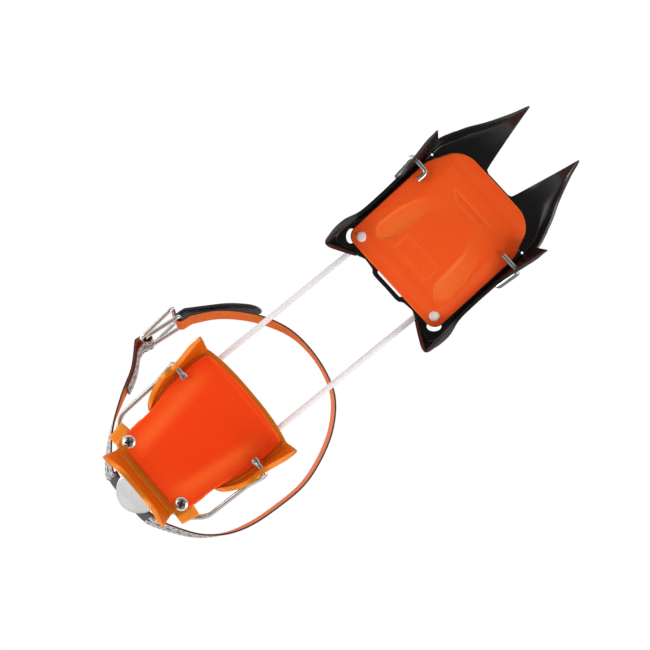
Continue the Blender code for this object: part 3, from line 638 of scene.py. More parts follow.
def point_rows(roots, tip):
    """Rows that draw an edge down to a tip, which stays a little blunt."""
    tip = Vector(tip)
    rows = []
    for k in range(POINT_ROWS + 1):
        inward, downward = (BLUNT * k / POINT_ROWS) ** 0.85, (k / POINT_ROWS) ** 1.15
        row = [(*root.xy.lerp(tip.xy, inward), root.z + (tip.z - root.z) * downward) for root in roots]
        rows.append([Vector(p) for p in row])
    return rows


def both_sides(grid):
    return [grid, [[mirrored(p) for p in row] for row in grid]]


def both_flanges(columns):
    """Both sides of a flange made of columns."""
    return both_sides([list(row) for row in zip(*columns)])


def whole(half):
    """An outline from its +Y half."""
    return half + [mirrored(p) for p in reversed(half) if p.y > 0.01]


def at_platform(points):
    """Flat points at the height of the platform's lower face."""
    return [Vector((*p, PLATFORM_Z)) for p in points]


def full_above_points(spot):
    """Full thickness down to the last millimetres of each point, which are forged thinner."""
    return 0.45 + 0.55 * ramp_up(spot.z / MM, 0, 9)


def add_sheet(node, patches, thickness, place, openings, look, body, slot, edge=0.35):
    """A frame: joined grids of points, thickened outward, drilled, with softened edges."""
    bm = bmesh.new()
    for grid in patches:
        if len(grid) == 1:
            bm.faces.new([bm.verts.new(p) for p in grid[0]])
            continue
        rows = [[bm.verts.new(p) for p in row] for row in grid]
        for low, high in zip(rows, rows[1:]):
            for i in range(len(low) - 1):
                bm.faces.new((low[i], low[i + 1], high[i + 1], high[i]))
    bmesh.ops.remove_doubles(bm, verts=bm.verts, dist=0.02)
    bmesh.ops.dissolve_degenerate(bm, edges=bm.edges, dist=0.02)
    data = mesh_from(bm, node, place)
    largest = max(data.polygons, key=lambda f: f.area)
    if largest.normal.z < 0:
        data.flip_normals()
    solid = {"thickness": thickness * MM, "offset": 1, "use_even_offset": False, "vertex_group": "weight"}
    steps = [("SOLIDIFY", solid), cut(cutter(openings, place)), soft_edges(edge)]
    data = modified(data, node + "_look", steps, weight=full_above_points)
    add_object(node + "_look", data, look, body, slot, node)


def add_hole(bm, radius, spot, side, segments=48, low_z=32, high_z=40):
    """A cutter for an upright hole on one side."""
    add_turned(bm, [(radius, low_z), (radius, high_z)], (spot[0], side * spot[1], 0), segments=segments)


def add_wire_hole(bm, pivot, y):
    """A cutter for a bail wire's hole, with pivot as x and z."""
    add_turned(bm, [(WIRE_HOLE, -6), (WIRE_HOLE, 6)], (pivot[0], y, pivot[1]), "Y", 24)


# Front frame: lower face of the platform's edge for +Y, in the front half's own axes
FRONT_REAR_EDGE = [(-48.0, 0), (-48.0, 10.5), (-46.0, 14), (-45.2, 21)]
FRONT_EDGE = [  # x, y, outward flare in x and y, drop of the flange
    (-46.6, 27.5, 0.2, -0.6, 1.5), (-49.3, 33, -0.8, 0.3, 4.5), (-50.3, 38.5, -1.4, 0.8, 6.5),
    (-49.5, 43, -1.2, 1.2, 7), (-40, 43.6, 0, 1.4, 7), (-29, 41.3, 0, 0.8, 7), (-15, 41, 0, 0.6, 7),
    (-3, 41, 0, 0.8, 7), (7, 41, 0, 1.0, 7), (17, 41, 0, 1.2, 7), (27, 41, 0, 1.4, 7),
    (35, 40.4, 1.0, 1.8, 7), (44, 36.5, 0.6, 2.8, 7)]
CORNER_TIP = (-56.8, 42.4, 0)
SIDE_TIP = (35.0, 46.8, 0)
SIDE_POINT_SPANS = (7.6, 10.8)
BLADE_RADIUS = 6.0
BLADE_STATIONS = [  # x, inner edge, fold, outer edge, height, drop of the outer edge
    (44, 10.6, 36.5, 39.3, 34, 7), (52, 12.9, 33.2, 36.0, 33.2, 6.5), (61, 15.3, 28.6, 31.0, 29.5, 5),
    (70, 17.7, 25.2, 26.6, 22.5, 3), (77, 19.5, 22.8, 23.4, 13.5, 1), (83.5, 21.0, 21.05, 21.1, 4.0, 0.1)]


def front_frame():
    columns = edge_columns(FRONT_EDGE)
    skirt = [column[-1] for column in columns]
    blade = []
    for i, (x, inner, fold, outer, height, drop) in enumerate(smooth(BLADE_STATIONS, PER_SPAN)):
        last = (x + (0.6 if i == 0 else 0), outer, height - drop)
        radius = FOLD_RADIUS + (BLADE_RADIUS - FOLD_RADIUS) * ramp_up(i, 0, PER_SPAN)
        column = fold_column((x, fold, height), last, min(radius, 0.3 * (fold - inner)))
        flat = [Vector((x, inner, height)).lerp(column[0], t) for t in (0, 0.33, 0.67)]
        if i == 0:
            flat = [Vector((44.8, 10.6, height)), Vector((44, 19, height)), Vector((44, 28, height))]
        blade.append(flat + column)
    half = at_platform(smooth(FRONT_REAR_EDGE, 4)) + [column[0] for column in columns]
    half += blade[0][2::-1] + at_platform([(44, 8.5), (44, 0)])
    patches = [[whole(half)]] + both_flanges(columns)
    patches += both_sides(point_rows(skirt[:5 * PER_SPAN + 1], CORNER_TIP))
    first, last = (round(span * PER_SPAN) for span in SIDE_POINT_SPANS)
    patches += both_sides(point_rows(skirt[first:last + 1], SIDE_TIP))
    patches += both_sides(blade)

    openings = bmesh.new()
    add_prism(openings, rectangle(-28, 29, -30, 30, 4), 30, 40)
    add_prism(openings, rectangle(-45.4, -41.5, -10.5, 10.5, 1.5), 30, 40)
    for side in (1, -1):
        made = add_turned(openings, [(1, 26), (1, 40)], (0, 0, 0))
        spot = Matrix.Translation((-42.0, 36.8 * side, 0)) @ Matrix.Rotation(atan2(4.6 * side, -4.0), 4, "Z")
        bmesh.ops.transform(openings, matrix=spot @ Matrix.Diagonal((3.0, 4.5, 1, 1)), verts=made)
        add_hole(openings, RIVET_HOLE, FRONT_RIVET, side)
        add_wire_hole(openings, TOE_PIVOT, side * 42)
        add_hole(openings, 0.8, (26.8, 40.0), side, 16, 20)
        for x in (-30.0, 26.0):
            add_hole(openings, 1.6, (x, 36.25), side, 24)
    add_sheet("front_frame", patches, STEEL, FRONT, openings, BLACK_STEEL, "front", "black_steel")


HEEL_FRONT_EDGE = [(40.3, 0), (40.1, 12), (39.4, 22), (38.4, 29), (37.3, 34.6)]
HEEL_EDGE = [  # x, y, outward flare in x and y, drop of the flange
    (37.0, 36.8, 0, 0.5, 1.0), (35.4, 37.2, 0, 1.2, 4.0), (32, 37.6, 0, 1.7, 7),
    (27, 37.8, 0, 1.8, 8.5), (22, 37.6, 0, 1.6, 10), (14, 37.4, 0, 1.4, 12),
    (6, 37, 0, 1.8, 12), (-3, 35.4, 0, 0.9, 6), (-14, 29.5, 0, 0.9, 0.05)]
HEEL_TIP = (39.3, 42.2, 0)
HEEL_SIDE = [(-22, 30.2), (-29.5, 29.8)]
LUG_ROOT = [(-30.2, 29.8), (-42.4, 28.6)]
LUG_END = [(-31.8, 36.6), (-43.2, 34.2)]
LUG_RISE = 4.0
REAR_ROOT_X = -43.6
REAR_PROFILE = [  # across at the root, across and height at the flange's lower edge
    (0, 0, 19), (9, 9, 18.5), (16, 16, 15.5), (21.5, 21.5, 9.0), (25.6, 27.0, 0)]


def rear_x(height):
    """The rear flange leans back to its knee, and is steeper below it."""
    drop = PLATFORM_Z - height
    return REAR_ROOT_X - 0.8 - 1.6 * min(1, drop / 14) - 1.2 * max(0, drop - 14) / 20


def heel_frame():
    columns = edge_columns(HEEL_EDGE)
    skirt = [column[-1] for column in columns]
    lug_columns = []
    for t in (0, 0.25, 0.5, 0.75, 1):
        root = Vector((*Vector(LUG_ROOT[0]).lerp(Vector(LUG_ROOT[1]), t), PLATFORM_Z))
        end = Vector((*Vector(LUG_END[0]).lerp(Vector(LUG_END[1]), t), PLATFORM_Z + LUG_RISE))
        lug_columns.append(fold_column(root, end))
    rear_columns = []
    for root_y, end_y, end_z in smooth(REAR_PROFILE, 4):
        below = PLATFORM_Z - FOLD_RADIUS
        path = []
        for k in range(1, 13):
            share = k / 12
            height = below - (PLATFORM_Z - end_z - FOLD_RADIUS) * share
            path.append(Vector((rear_x(height), root_y + (end_y - root_y) * share, height)))
        inside = Vector((REAR_ROOT_X, root_y, PLATFORM_Z)) + Vector((FOLD_RADIUS, 0, 0))
        corner = Vector((REAR_ROOT_X - 0.6, root_y, PLATFORM_Z))
        rear_columns.append(arc(inside, corner, Vector((rear_x(below), root_y, below)), 4) + path)
    roots = [column[0] for column in columns] + at_platform(HEEL_SIDE)
    roots += [column[0] for column in lug_columns + rear_columns[::-1]]
    patches = [[whole(at_platform(smooth(HEEL_FRONT_EDGE, PER_SPAN)) + roots)]] + both_flanges(columns)
    patches += both_sides(point_rows(skirt[:5 * PER_SPAN + 1], HEEL_TIP))
    patches += both_flanges(lug_columns) + both_flanges(rear_columns)

    openings = bmesh.new()
    add_prism(openings, rectangle(-24, 4, -17, 17, 3), 30, 42)
    for side in (1, -1):
        add_hole(openings, SCREW_HOLE, HEEL_SCREW, side, low_z=30, high_z=42)
        add_wire_hole(openings, HEEL_PIVOT, side * 39)
    add_sheet("heel_frame", patches, ALUMINIUM, HEEL, openings, ORANGE_ALUMINIUM, "heel",
              "orange_aluminium", 0.4)


# ---------------------------------------------------------------- anti-snow plates


def front_relief(x, y):
    """How far the front plate's lower face stands below its flange in millimetres, and how much painted
    highlight it gets.
    """
    y = abs(y)
    rim = min(x + 44.2, 43 - x, 39.1 - y)
    height = 1.6 * ramp_up(rim, 1.5, 12.0)
    inner = float(np.interp(x, (-30, 0, 8, 16), (20.0, 17.6, 13.0, 9.6)))
    outer = float(np.interp(x, (-30, -10, 0, 8, 16, 20), (31.0, 29.6, 26.4, 21.6, 17.4, 15.0)))
    middle = (inner + outer) / 2
    round_end = -30.0 + 4.0 * (2 * abs(y - middle) / (outer - inner)) ** 2
    wing = inside_of(y, inner, outer, 3.4) * ramp_up(x, round_end - 1.6, round_end + 1.6)
    height -= wing * 1.7 * (1 - ramp_up(x, -24, 19))
    # Painted highlight over the inner field, strongest along the wings towards their rear ends.
    painted_highlight = 0.25 * ramp_up(rim, 9, 16) + 0.75 * wing * (1 - ramp_up(x, -30, 24))
    bar_half = 16.3 + (x - 22.7) * 1.6
    height -= 0.8 * inside_of(x, 18.0, 22.7, 1.4) * (1 - ramp_up(y, bar_half - 1.2, bar_half + 1.2))
    frame_ends = 1 - ramp_up(y, 14.0, 14.8)
    panel = inside_of(x, -28.8, -16.7, 0.8) * frame_ends
    field = inside_of(x, -27.4, -18.1, 0.8) * (1 - ramp_up(y, 12.6, 13.4))
    return height - 0.35 * panel + 0.35 * field, painted_highlight


def heel_relief(x, y):
    """How far the heel plate's lower face stands below its flange in millimetres, and how much painted
    highlight it gets.
    """
    y = abs(y)
    inner = float(np.interp(x, (-36, 18), (12.0, 20.5)))
    outer = float(np.interp(x, (-36, 18), (22.0, 29.5)))
    slope = 1 - ramp_up(y, inner, outer)
    ends = ramp_up(x, -39, -22) * (1 - ramp_up(x, 16, 36))
    flat_rim = 0.5 * ramp_up(min(x + 39.5, 37.5 - x, 33.6 - y), 1.0, 4.0)
    middle = inner * 0.4 + outer * 0.6
    # Painted highlight: a pale band along the middle of each side slope.
    band = (1 - ramp_up(abs(y - middle), 1.0, 9.0)) * ramp_up(x, -40, -30) * (1 - ramp_up(x, 14, 34))
    return flat_rim + 1.5 * slope * ends, 0.7 * band


def relief_plate(name, outline, relief, holes_at, hole_radius, place, body, look, node):
    """A moulded plate: flat on the boot side, shaped on the snow side."""
    top, low = PLATE_TOP, PLATE_LOW
    edge = spaced(outline, 0.8, closed=True)
    count = len(edge)
    radius = float(np.abs(edge).max())
    rings = [(1.0, top, 0.0), (1.0, low + 0.9, 0.0), (1 - 0.12 / radius, low + 0.45, 0.0),
             (1 - 0.4 / radius, low + 0.14, 0.0), (1 - 0.9 / radius, low, 1.0)]
    steps = int(radius / 0.55)
    first = rings[-1][0]
    rings += [(first * (1 - k / steps), low, 1.0) for k in range(1, steps)]
    bm = bmesh.new()
    # Each vertex carries how much painted highlight the plastic gets.
    painted_highlight_layer = bm.verts.layers.float.new("painted_highlight")
    levels = []
    for scale, z, follows in rings:
        ring = []
        for x, y in edge * scale:
            drop, painted_highlight = relief(x, y) if follows else (0, 0)
            ring.append(bm.verts.new((x, y, z - drop)))
            ring[-1][painted_highlight_layer] = painted_highlight
        levels.append(ring)
    join_rings(bm, levels)
    drop, painted_highlight = relief(0, 0)
    centre = bm.verts.new((0, 0, low - drop))
    centre[painted_highlight_layer] = painted_highlight
    for i in range(count):
        bm.faces.new((levels[-1][i], levels[-1][(i + 1) % count], centre))
    bm.faces.new(levels[0])
    data = mesh_from(bm, name, place, 60)
    holes = bmesh.new()
    for side in (1, -1):
        add_hole(holes, hole_radius, holes_at, side, low_z=26)
    data = modified(data, name, [cut(cutter(holes, place))], 60)
    add_object(name, data, look, body, "orange_plastic", node)


def plates():
    half = [(43, 24, 17), (37, 32.4, 15), (21.2, 39.1, 9), (-44.2, 39.1, 6.6)]
    outline = rounded(half + [(x, -y, radius) for x, y, radius in reversed(half)])
    relief_plate("front_plate_look", outline, front_relief, FRONT_RIVET, RIVET_HOLE, FRONT, "front",
                 FRONT_PLASTIC, "front_antisnow_plate")
    half = [(38.2, 0, 0), (37.9, 12, 30), (36.7, 25, 30), (35.0, 35.3, 5), (20, 35.4, 20),
            (6, 34.6, 12), (-14, 30.2, 10), (-36, 29, 5), (-39.5, 21, 5)]
    outline = rounded(half + [(x, -y, radius) for x, y, radius in reversed(half[1:])])
    relief_plate("heel_plate_look", outline, heel_relief, HEEL_SCREW, SCREW_HOLE, HEEL, "heel", HEEL_PLASTIC,
                 "heel_antisnow_plate")


# ---------------------------------------------------------------- fasteners


def rivet(name, side):
    """A white plastic rivet through the front plate and frame, with a domed head below."""
    low, top = PLATE_LOW - GAP, PLATFORM_Z + STEEL + GAP
    spot = (FRONT_RIVET[0], side * FRONT_RIVET[1], 0)
    bm = bmesh.new()
    add_turned(bm, [(0, low - 1.6), (0.9, low - 1.56), (1.8, low - 1.4), (2.5, low - 1.1), (3.0, low - 0.65),
                    (3.2, low - 0.25), (3.15, low), (1.8, low), (1.8, top), (2.8, top), (2.7, top + 0.4),
                    (2.3, top + 0.9), (1.2, top + 1.08), (0, top + 1.1)], spot)
    add_object(f"front_rivet_{name}_look", mesh_from(bm, "rivet", FRONT), RIVET_PLASTIC, "front",
               "white_plastic", "front_rivet_" + name)


def screw(name, side):
    """A domed cross-head screw up through the heel plate and frame."""
    low, top = PLATE_LOW - GAP, PLATFORM_Z + ALUMINIUM + 2 * GAP
    spot = (HEEL_SCREW[0], side * HEEL_SCREW[1], 0)
    bm = bmesh.new()
    add_turned(bm, [(0, low - 1.9), (1.2, low - 1.87), (2.4, low - 1.72), (3.3, low - 1.4), (4.0, low - 0.9),
                    (4.35, low - 0.4), (4.4, low - 0.1), (4.3, low), (2.2, low), (2.2, top + 3.4),
                    (1.9, top + 3.6), (0, top + 3.6)], spot)
    data = mesh_from(bm, "screw", HEEL)
    tools = []
    for turn in (45, 135):
        bm = bmesh.new()
        add_prism(bm, rectangle(-2.5, 2.5, -0.55, 0.55, 0.3, 3), low - 3, low - 0.35)
        place = Matrix.Translation(spot) @ Matrix.Rotation(radians(turn + 12 * side), 4, "Z")
        bmesh.ops.transform(bm, matrix=place, verts=bm.verts)
        tools.append(cutter(bm, HEEL))
    bm = bmesh.new()
    add_turned(bm, [(1.6, low - 3), (1.6, low - 0.3), (0.5, low)], spot, segments=4)
    tools.append(cutter(bm, HEEL))
    data.materials.append(PLATED_STEEL)
    for tool in tools:
        # The cutters carry the dark material, which paints shade into the cross recess.
        tool.data.materials.append(RECESS_SHADE)
    steps = [(kind, {**settings, "material_mode": "TRANSFER"}) for kind, settings in map(cut, tools)]
    data = modified(data, "screw", steps + [soft_edges(0.07)])
    add_object(f"heel_screw_{name}_look", data, PLATED_STEEL, "heel", "bright_steel", "heel_screw_" + name)


def fasteners():
    for name, side in SIDES:
        rivet(name, side)
        screw(name, side)


def refined(node, look, body, slot, width, segments=2):
    """The CAD node's own shape with softened edges."""
    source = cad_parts[node].data
    bm = bmesh.new()
    bm.from_mesh(source)
    bmesh.ops.remove_doubles(bm, verts=bm.verts, dist=0.00001)
    bmesh.ops.dissolve_limit(bm, angle_limit=radians(1), verts=bm.verts, edges=bm.edges)
    data = bpy.data.meshes.new(node)
    bm.to_mesh(data)
    bm.free()
    data = modified(data, node + "_look", [soft_edges(width, segments, 30)], 35)
    data.materials.clear()
    add_object(node + "_look", data, look, body, slot, node)


def hardware():
    for side in ("left", "right"):
        refined("adjuster_rail_" + side, PLATED_STEEL, "front", "bright_steel", 0.25)
        for end in ("rear", "front"):
            refined(f"rail_rivet_{side}_{end}", PLATED_STEEL, "front", "bright_steel", 0.12)
        refined("heel_nut_" + side, PLATED_STEEL, "heel", "bright_steel", 0.25)
        refined("cord_post_" + side, PLATED_STEEL, "heel", "bright_steel", 0.15)
    refined("adjuster_bar", PLATED_STEEL, "link_front", "bright_steel", 0.5, 3)


# ---------------------------------------------------------------- wires


WIRE_STEP = 0.7


def flattened(count):
    """A tube shape for a wire whose ends are pressed flat and rounded off."""
    reach = 5

    def shape(i, angle):
        tip = min(i, count - 1 - i)
        share = 1 - ramp_up(tip, reach * 0.5, reach * 1.3)
        end = 0.82 + 0.18 * ramp_up(tip, -0.5, 1.5)
        return WIRE_RADIUS * (1 + 0.38 * share) * end, WIRE_RADIUS * (1 - 0.32 * share) * end

    return shape


def wire(node, path, place, bend, flat_ends):
    """A bail that rides on the body of its own name."""
    path = spaced([place @ p for p in bent(path, bend)], WIRE_STEP)
    data = tube(node + "_look", path, WIRE_RADIUS, 24, shape=flattened(len(path)) if flat_ends else None)
    add_object(node + "_look", data, WIRE_STEEL, node, "bright_steel", node)


def wires():
    x, z = TOE_PIVOT
    hook = [(x - 7.5, -34.3, z), (x - 0.2, -33.9, z)]
    arm = [(x, 46.2, z), (x - 1.2, 46.8, z + 3.5), (x - 12.5, 46.8, z + 38), (x - 9.5, 36, z + 46),
           (x - 7.5, 18, z + 48.5)]
    wire("toe_bail", hook + [mirrored(p) for p in arm] + arm[::-1] + [(x, 33, z)], FRONT, 14, False)
    x, z = HEEL_PIVOT
    half = [(x, 31.5, z), (x, 42.9, z), (x - 3, 43.2, z + 2.5), (2, 41.3, 33.2), (-27.5, 40.4, 42.2),
            (-31.5, 39.0, 43.6), (-37, 34.6, 44.6), (-42.6, 27, 47.5), (LEVER_X, 21.5, LEVER_Z)]
    wire("heel_bail", half + [mirrored(p) for p in reversed(half)], HEEL, 9, True)


# ---------------------------------------------------------------- cords


CORD_RADIUS = 1.85
CORD_Z = 39.3
CORD_HALF_SPACING = 27.5
BAR_X = -8.0
BAR_FACE_X = BAR_X + 4.5
MIDDLE_X = -28.0
HEEL_LOOP = [(34, 27.5), (24, 27.2), (16, 24.6), (12.6, 18.5), (11.8, 9), (11.8, 0)]
STRANDS = 8
BRAID_PITCH = 13.0
CORD_STEP = 0.4


def braid(radius, step=CORD_STEP):
    """A tube shape with two families of strands that pass over and under each other."""

    def shape(i, angle):
        along = i * step / BRAID_PITCH
        first = STRANDS * (angle / (2 * pi) + along)
        second = STRANDS * (angle / (2 * pi) - along)
        over = (int(np.floor(first)) + int(np.floor(second))) % 2 == 0
        rise = abs(sin(pi * first)) if over else abs(sin(pi * second))
        size = radius * (0.90 + 0.10 * rise ** 0.7)
        return size, size * 0.92

    return shape


def cord_spot(side, x):
    """A point of the straight cords at world x."""
    bar = FRONT @ Vector((BAR_X, side * CORD_HALF_SPACING, CORD_Z))
    heel = HEEL @ Vector((42.0, side * CORD_HALF_SPACING, CORD_Z))
    return bar.lerp(heel, (x - bar.x) / (heel.x - bar.x))


def cords():
    for name, side in SIDES:
        knot = FRONT @ Vector((BAR_FACE_X + 2.6, side * CORD_HALF_SPACING, CORD_Z))
        path = spaced([knot, cord_spot(side, MIDDLE_X)], CORD_STEP)
        data = tube("cord_" + name, path, CORD_RADIUS, 32, shape=braid(CORD_RADIUS))
        made = add_object("cord_" + name, data, WHITE_CORD, None, "white_cord", "cord_front_" + name)
        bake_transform(made)
    loop = whole([Vector((*p, CORD_Z)) for p in HEEL_LOOP])
    curve = smooth([HEEL @ Vector(p) for p in loop], 8)
    stations = (MIDDLE_X, -45, -55)
    left, right = ([cord_spot(side, x) for x in stations] for side in (1, -1))
    path = spaced(left + curve + right[::-1], CORD_STEP)
    data = tube("cord_heel_loop_look", path, CORD_RADIUS, 32, shape=braid(CORD_RADIUS))
    made = add_object("cord_heel_loop_look", data, WHITE_CORD, None, "white_cord", "cord_heel_loop",
                      "cord_middle_left", "cord_middle_right")
    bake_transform(made)
    for name, side in SIDES:
        centre = FRONT @ Vector((BAR_FACE_X + 5.4, side * CORD_HALF_SPACING, CORD_Z + 0.3))
        turns = np.linspace(0, 2 * pi, 121)[:-1]
        path = [centre + Vector((0.78 * (cos(t) - 2 * cos(2 * t)), 0.62 * (sin(t) + 2 * sin(2 * t)),
                                 -0.95 * sin(3 * t))) for t in turns]
        data = tube("cord_knot_" + name, path, 1.3, closed=True, shape=braid(1.35, 0.25))
        add_object(f"cord_knot_{name}_look", data, WHITE_CORD, "link_front", "white_cord",
                   "cord_knot_" + name)


# ---------------------------------------------------------------- lever


LEVER = HEEL @ Matrix.Translation((LEVER_X, LEVER_Y, LEVER_Z)) @ Matrix.Rotation(-LEVER_LEAN, 4, "Y")
SLOT_ALONG = 36.0
LEVER_SECTIONS = [  # along, middle in depth, half depth, half width
    (-8.9, 3.2, 3.0, 10.0), (-8.4, 2.6, 4.8, 11.6), (-7, 1.6, 6.3, 12.6), (-3, 1.2, 5.9, 13.2),
    (3, 0.2, 4.6, 13.7),
    (12, -0.2, 4.5, 14.0), (24, 0.1, 4.2, 13.8), (30, 0.3, 4.0, 13.1), (36, 0.5, 3.8, 11.8),
    (40, 0.6, 3.6, 10.5), (44, 0.7, 3.3, 8.8), (47, 0.7, 2.9, 7.0), (49.5, 0.7, 2.3, 4.8),
    (51, 0.7, 1.5, 2.8), (51.7, 0.7, 0.7, 1.2)]
GRIP_ENDS = (29.0, 46.0)
GRIP_PITCH = 4.2
GRIP_DEPTH = 0.55
DISH_DEPTH = 1.0


def squarish(value):
    """Bulges a circle's coordinate towards a rounded square's."""
    return abs(value) ** 0.8 * (1 if value >= 0 else -1)


def heel_lever():
    bm = bmesh.new()
    rings = []
    for along, middle, depth, width in smooth(LEVER_SECTIONS, 12):
        ring = []
        grip = inside_of(along, GRIP_ENDS[0], GRIP_ENDS[1], 3.0) * sin(pi * along / GRIP_PITCH) ** 2
        for i in range(48):
            a = 2 * pi * i / 48
            x, y = squarish(cos(a)), squarish(sin(a))
            groove = GRIP_DEPTH * grip * max(0.0, -x) * (1 - ramp_up(abs(y), 0.45, 0.75))
            dish = DISH_DEPTH * max(0.0, x) * (1 - ramp_up(abs(y), 0.3, 0.8)) * inside_of(along, 4, 25, 8)
            ring.append(bm.verts.new((middle + depth * x + groove - dish, width * y, along)))
        rings.append(ring)
    join_rings(bm, rings)
    bm.faces.new(rings[0][::-1])
    bm.faces.new(rings[-1])
    body = mesh_from(bm, "lever", LEVER)
    bm = bmesh.new()
    add_prism(bm, rectangle(-0.9, 2.3, SLOT_ALONG - 8.7, SLOT_ALONG + 8.7, 1, 4), -20, 20)
    bmesh.ops.transform(bm, matrix=Matrix.Rotation(pi / 2, 4, "X"), verts=bm.verts)
    slot = cutter(bm, LEVER)
    bm = bmesh.new()
    add_turned(bm, [(WIRE_HOLE, -20), (WIRE_HOLE, 20)], (0, 0, 0), "Y", 24)
    data = modified(body, "heel_lever_look", [cut(slot), cut(cutter(bm, LEVER)), soft_edges(0.4, 3, 50)], 45)
    add_object("heel_lever_look", data, LEVER_PLASTIC, "heel_lever", "white_plastic", "heel_lever")


# ---------------------------------------------------------------- ankle strap


STRAP_WIDTH = 15.0
STRAP_THICKNESS = 1.5
STRAP_LEFT = [(-62.5, 21.5), (-54.5, 36), (-45, 48.4), (-31.5, 57.8), (-15.5, 63), (3, 65), (24, 65),
              (42.5, 59.8), (60.4, 50.3), (74, 36.8), (80.2, 22), (82.3, 4.3), (80.2, -12.4),
              (73, -28), (63.5, -40.6), (52, -51)]
STRAP_RIGHT = [(-63.5, -17.5), (-57, -26.5), (-44, -38.5), (-27, -48.8), (-11, -57)]
BUCKLE_REAR = Vector((9.0, -65.4))
BUCKLE_FRONT = Vector((33.0, -62.0))
SEWN_LENGTH = 32.0
SEWN_SPACING = 1.7
TAIL = [(49, -57), (60, -49.6), (68.5, -42), (75.5, -34)]
RING_BAR = 1.3
TURN_RADIUS = RING_BAR + GAP + STRAP_THICKNESS / 2 + 0.3
RIB = 1.3


def slot_spot():
    return HEEL.inverted() @ LEVER @ Vector((0.7, 0, SLOT_ALONG))


def strap_height(x):
    return slot_spot().z - 9.0 * (x - slot_spot().x) / 145


def strap_across(x, y):
    """Across the webbing: in line with the lever at the rear, and leaning in at the sides."""
    share = min(1.0, max(0.0, (x - slot_spot().x) / 45))
    rear = Vector((-sin(LEVER_LEAN), 0, cos(LEVER_LEAN)))
    other_side = ramp_up(y, -30, 30)
    front = Vector((-0.21 + 0.08 * other_side, 0.26 - 0.34 * other_side, 0.94))
    return rear.lerp(front, share).normalized()


def webbing(name, plan, thickness, looks, ribs, rounded_end=False, width=STRAP_WIDTH):
    """Webbing on edge along plan points. looks are for the inner face, outer face and edges."""
    path = spaced(plan, RIB / 4)
    count = len(path)
    columns = 8
    half_edge = thickness / 2
    across_face = np.linspace(-1, 1, columns + 1)
    profile = [(v, 1) for v in across_face] + [(v, -1) for v in np.linspace(1, -1, columns + 1)]
    ahead = np.gradient(path, axis=0)
    verts, uvs = [], []
    for i, (x, y) in enumerate(path):
        across = strap_across(x, y)
        normal = Vector((*ahead[i], 0)).cross(across).normalized()
        centre = Vector((x, y, strap_height(x)))
        left = (count - 1 - i) * RIB / 4
        narrow = 1.0
        if rounded_end and left < width / 2:
            narrow = max(0.05, (1 - (1 - left / (width / 2)) ** 2) ** 0.5)
        phase = i * 2 * pi / 4
        for v, face in profile:
            rib = 0.10 * sin(phase) if ribs and face > 0 else 0.04 * sin(phase * 2)
            edge = 0.35 * max(0.0, abs(v) - 0.9) / 0.1
            offset = face * (half_edge - edge * half_edge + rib * (1 - edge))
            spot = centre + across * (v * narrow * width / 2) + normal * offset
            verts.append(HEEL @ spot * MM)
            uvs.append((i * RIB / 4 * MM, (v + 1) / 2))
    slots = [0] * columns + [2] + [1] * columns + [2]
    data = bpy.data.meshes.new(name)
    data.from_pydata([tuple(v) for v in verts], [], skin(count, len(profile)))
    layer = data.uv_layers.new(name="UVMap")
    for loop in data.loops:
        layer.data[loop.index].uv = uvs[loop.vertex_index]
    for look in looks:
        data.materials.append(look)
    data.polygons.foreach_set("material_index", slots * (count - 1) + [2, 2])
    bm = bmesh.new()
    bm.from_mesh(data)
    bmesh.ops.recalc_face_normals(bm, faces=bm.faces)
    bm.to_mesh(data)
    bm.free()
    return shaded(data, 60)


def turn_round(centre, start, sweep=180):
    """The strap's path round a bar of the ring."""
    angles = [radians(start + sweep * k / 12) for k in range(13)]
    return [centre + TURN_RADIUS * Vector((cos(a), sin(a))) for a in angles]


def smooth_plan(points):
    return [Vector(p) for p in smooth([tuple(p) for p in points], 6)]


def doubled(path):
    """The sewn layer beside the start of a path: it leaves the ring wide and then lies against it."""
    path = [Vector(p) for p in spaced(path, 1.0)[:int(SEWN_LENGTH)]]
    layer = []
    for i, here in enumerate(path[:-1]):
        ahead = (path[i + 1] - here).normalized()
        wide = 2 * TURN_RADIUS + (SEWN_SPACING - 2 * TURN_RADIUS) * ramp_up(i, -1, 8)
        layer.append(here + Vector((ahead.y, -ahead.x)) * wide)
    return layer


def ankle_strap():
    spot = slot_spot()
    along = (BUCKLE_FRONT - BUCKLE_REAR).normalized()
    outward = Vector((along.y, -along.x))
    heading = degrees(atan2(along.y, along.x))
    wrap = outward * TURN_RADIUS
    through_lever = [(spot.x + 0.4, -13.0), (spot.x - 0.1, LEVER_Y), (spot.x + 0.6, 16.0)]
    right = STRAP_RIGHT + [tuple(BUCKLE_REAR + wrap - along * 7)]
    left = STRAP_LEFT + [tuple(BUCKLE_FRONT - wrap + along * 6)]
    sewn = doubled(smooth_plan(right[::-1]))[::-1]
    plan = sewn + turn_round(BUCKLE_REAR, heading + 90, -180)
    plan += smooth_plan(right[::-1] + through_lever + left)
    plan += turn_round(BUCKLE_FRONT, heading + 90)
    free_end = smooth_plan([tuple(BUCKLE_FRONT + wrap + along * 5)] + TAIL)
    looks = (INNER_WEBBING, OUTER_WEBBING, BLACK_WEBBING)
    data = webbing("ankle_strap", plan, STRAP_THICKNESS, looks, True)
    made = add_object("ankle_strap", data, None, None, "strap_webbing", "strap_long", "strap_short")
    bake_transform(made)
    looks = (TIP_WEBBING,) * 3
    free_end.insert(0, plan[-1] + (free_end[0] - plan[-1]).normalized() * 0.3)
    data = webbing("strap_tip", free_end, 1.7, looks, False, True)
    add_object("strap_tip", data, None, "strap", "black_webbing", "strap_tail")
    ends = [(spot.x + 1.2, LEVER_Y - 18.6), (spot.x + 0.2, LEVER_Y - 13)]
    sleeve = smooth_plan(ends + [(spot.x, LEVER_Y)] + [(x, 2 * LEVER_Y - y) for x, y in reversed(ends)])
    looks = (BLACK_WEBBING,) * 3
    data = webbing("strap_sleeve_look", sleeve, 2.5, looks, True, width=15.6)
    add_object("strap_sleeve_look", data, None, "heel_lever", "black_webbing", "strap_sleeve")
    buckle(along, outward)


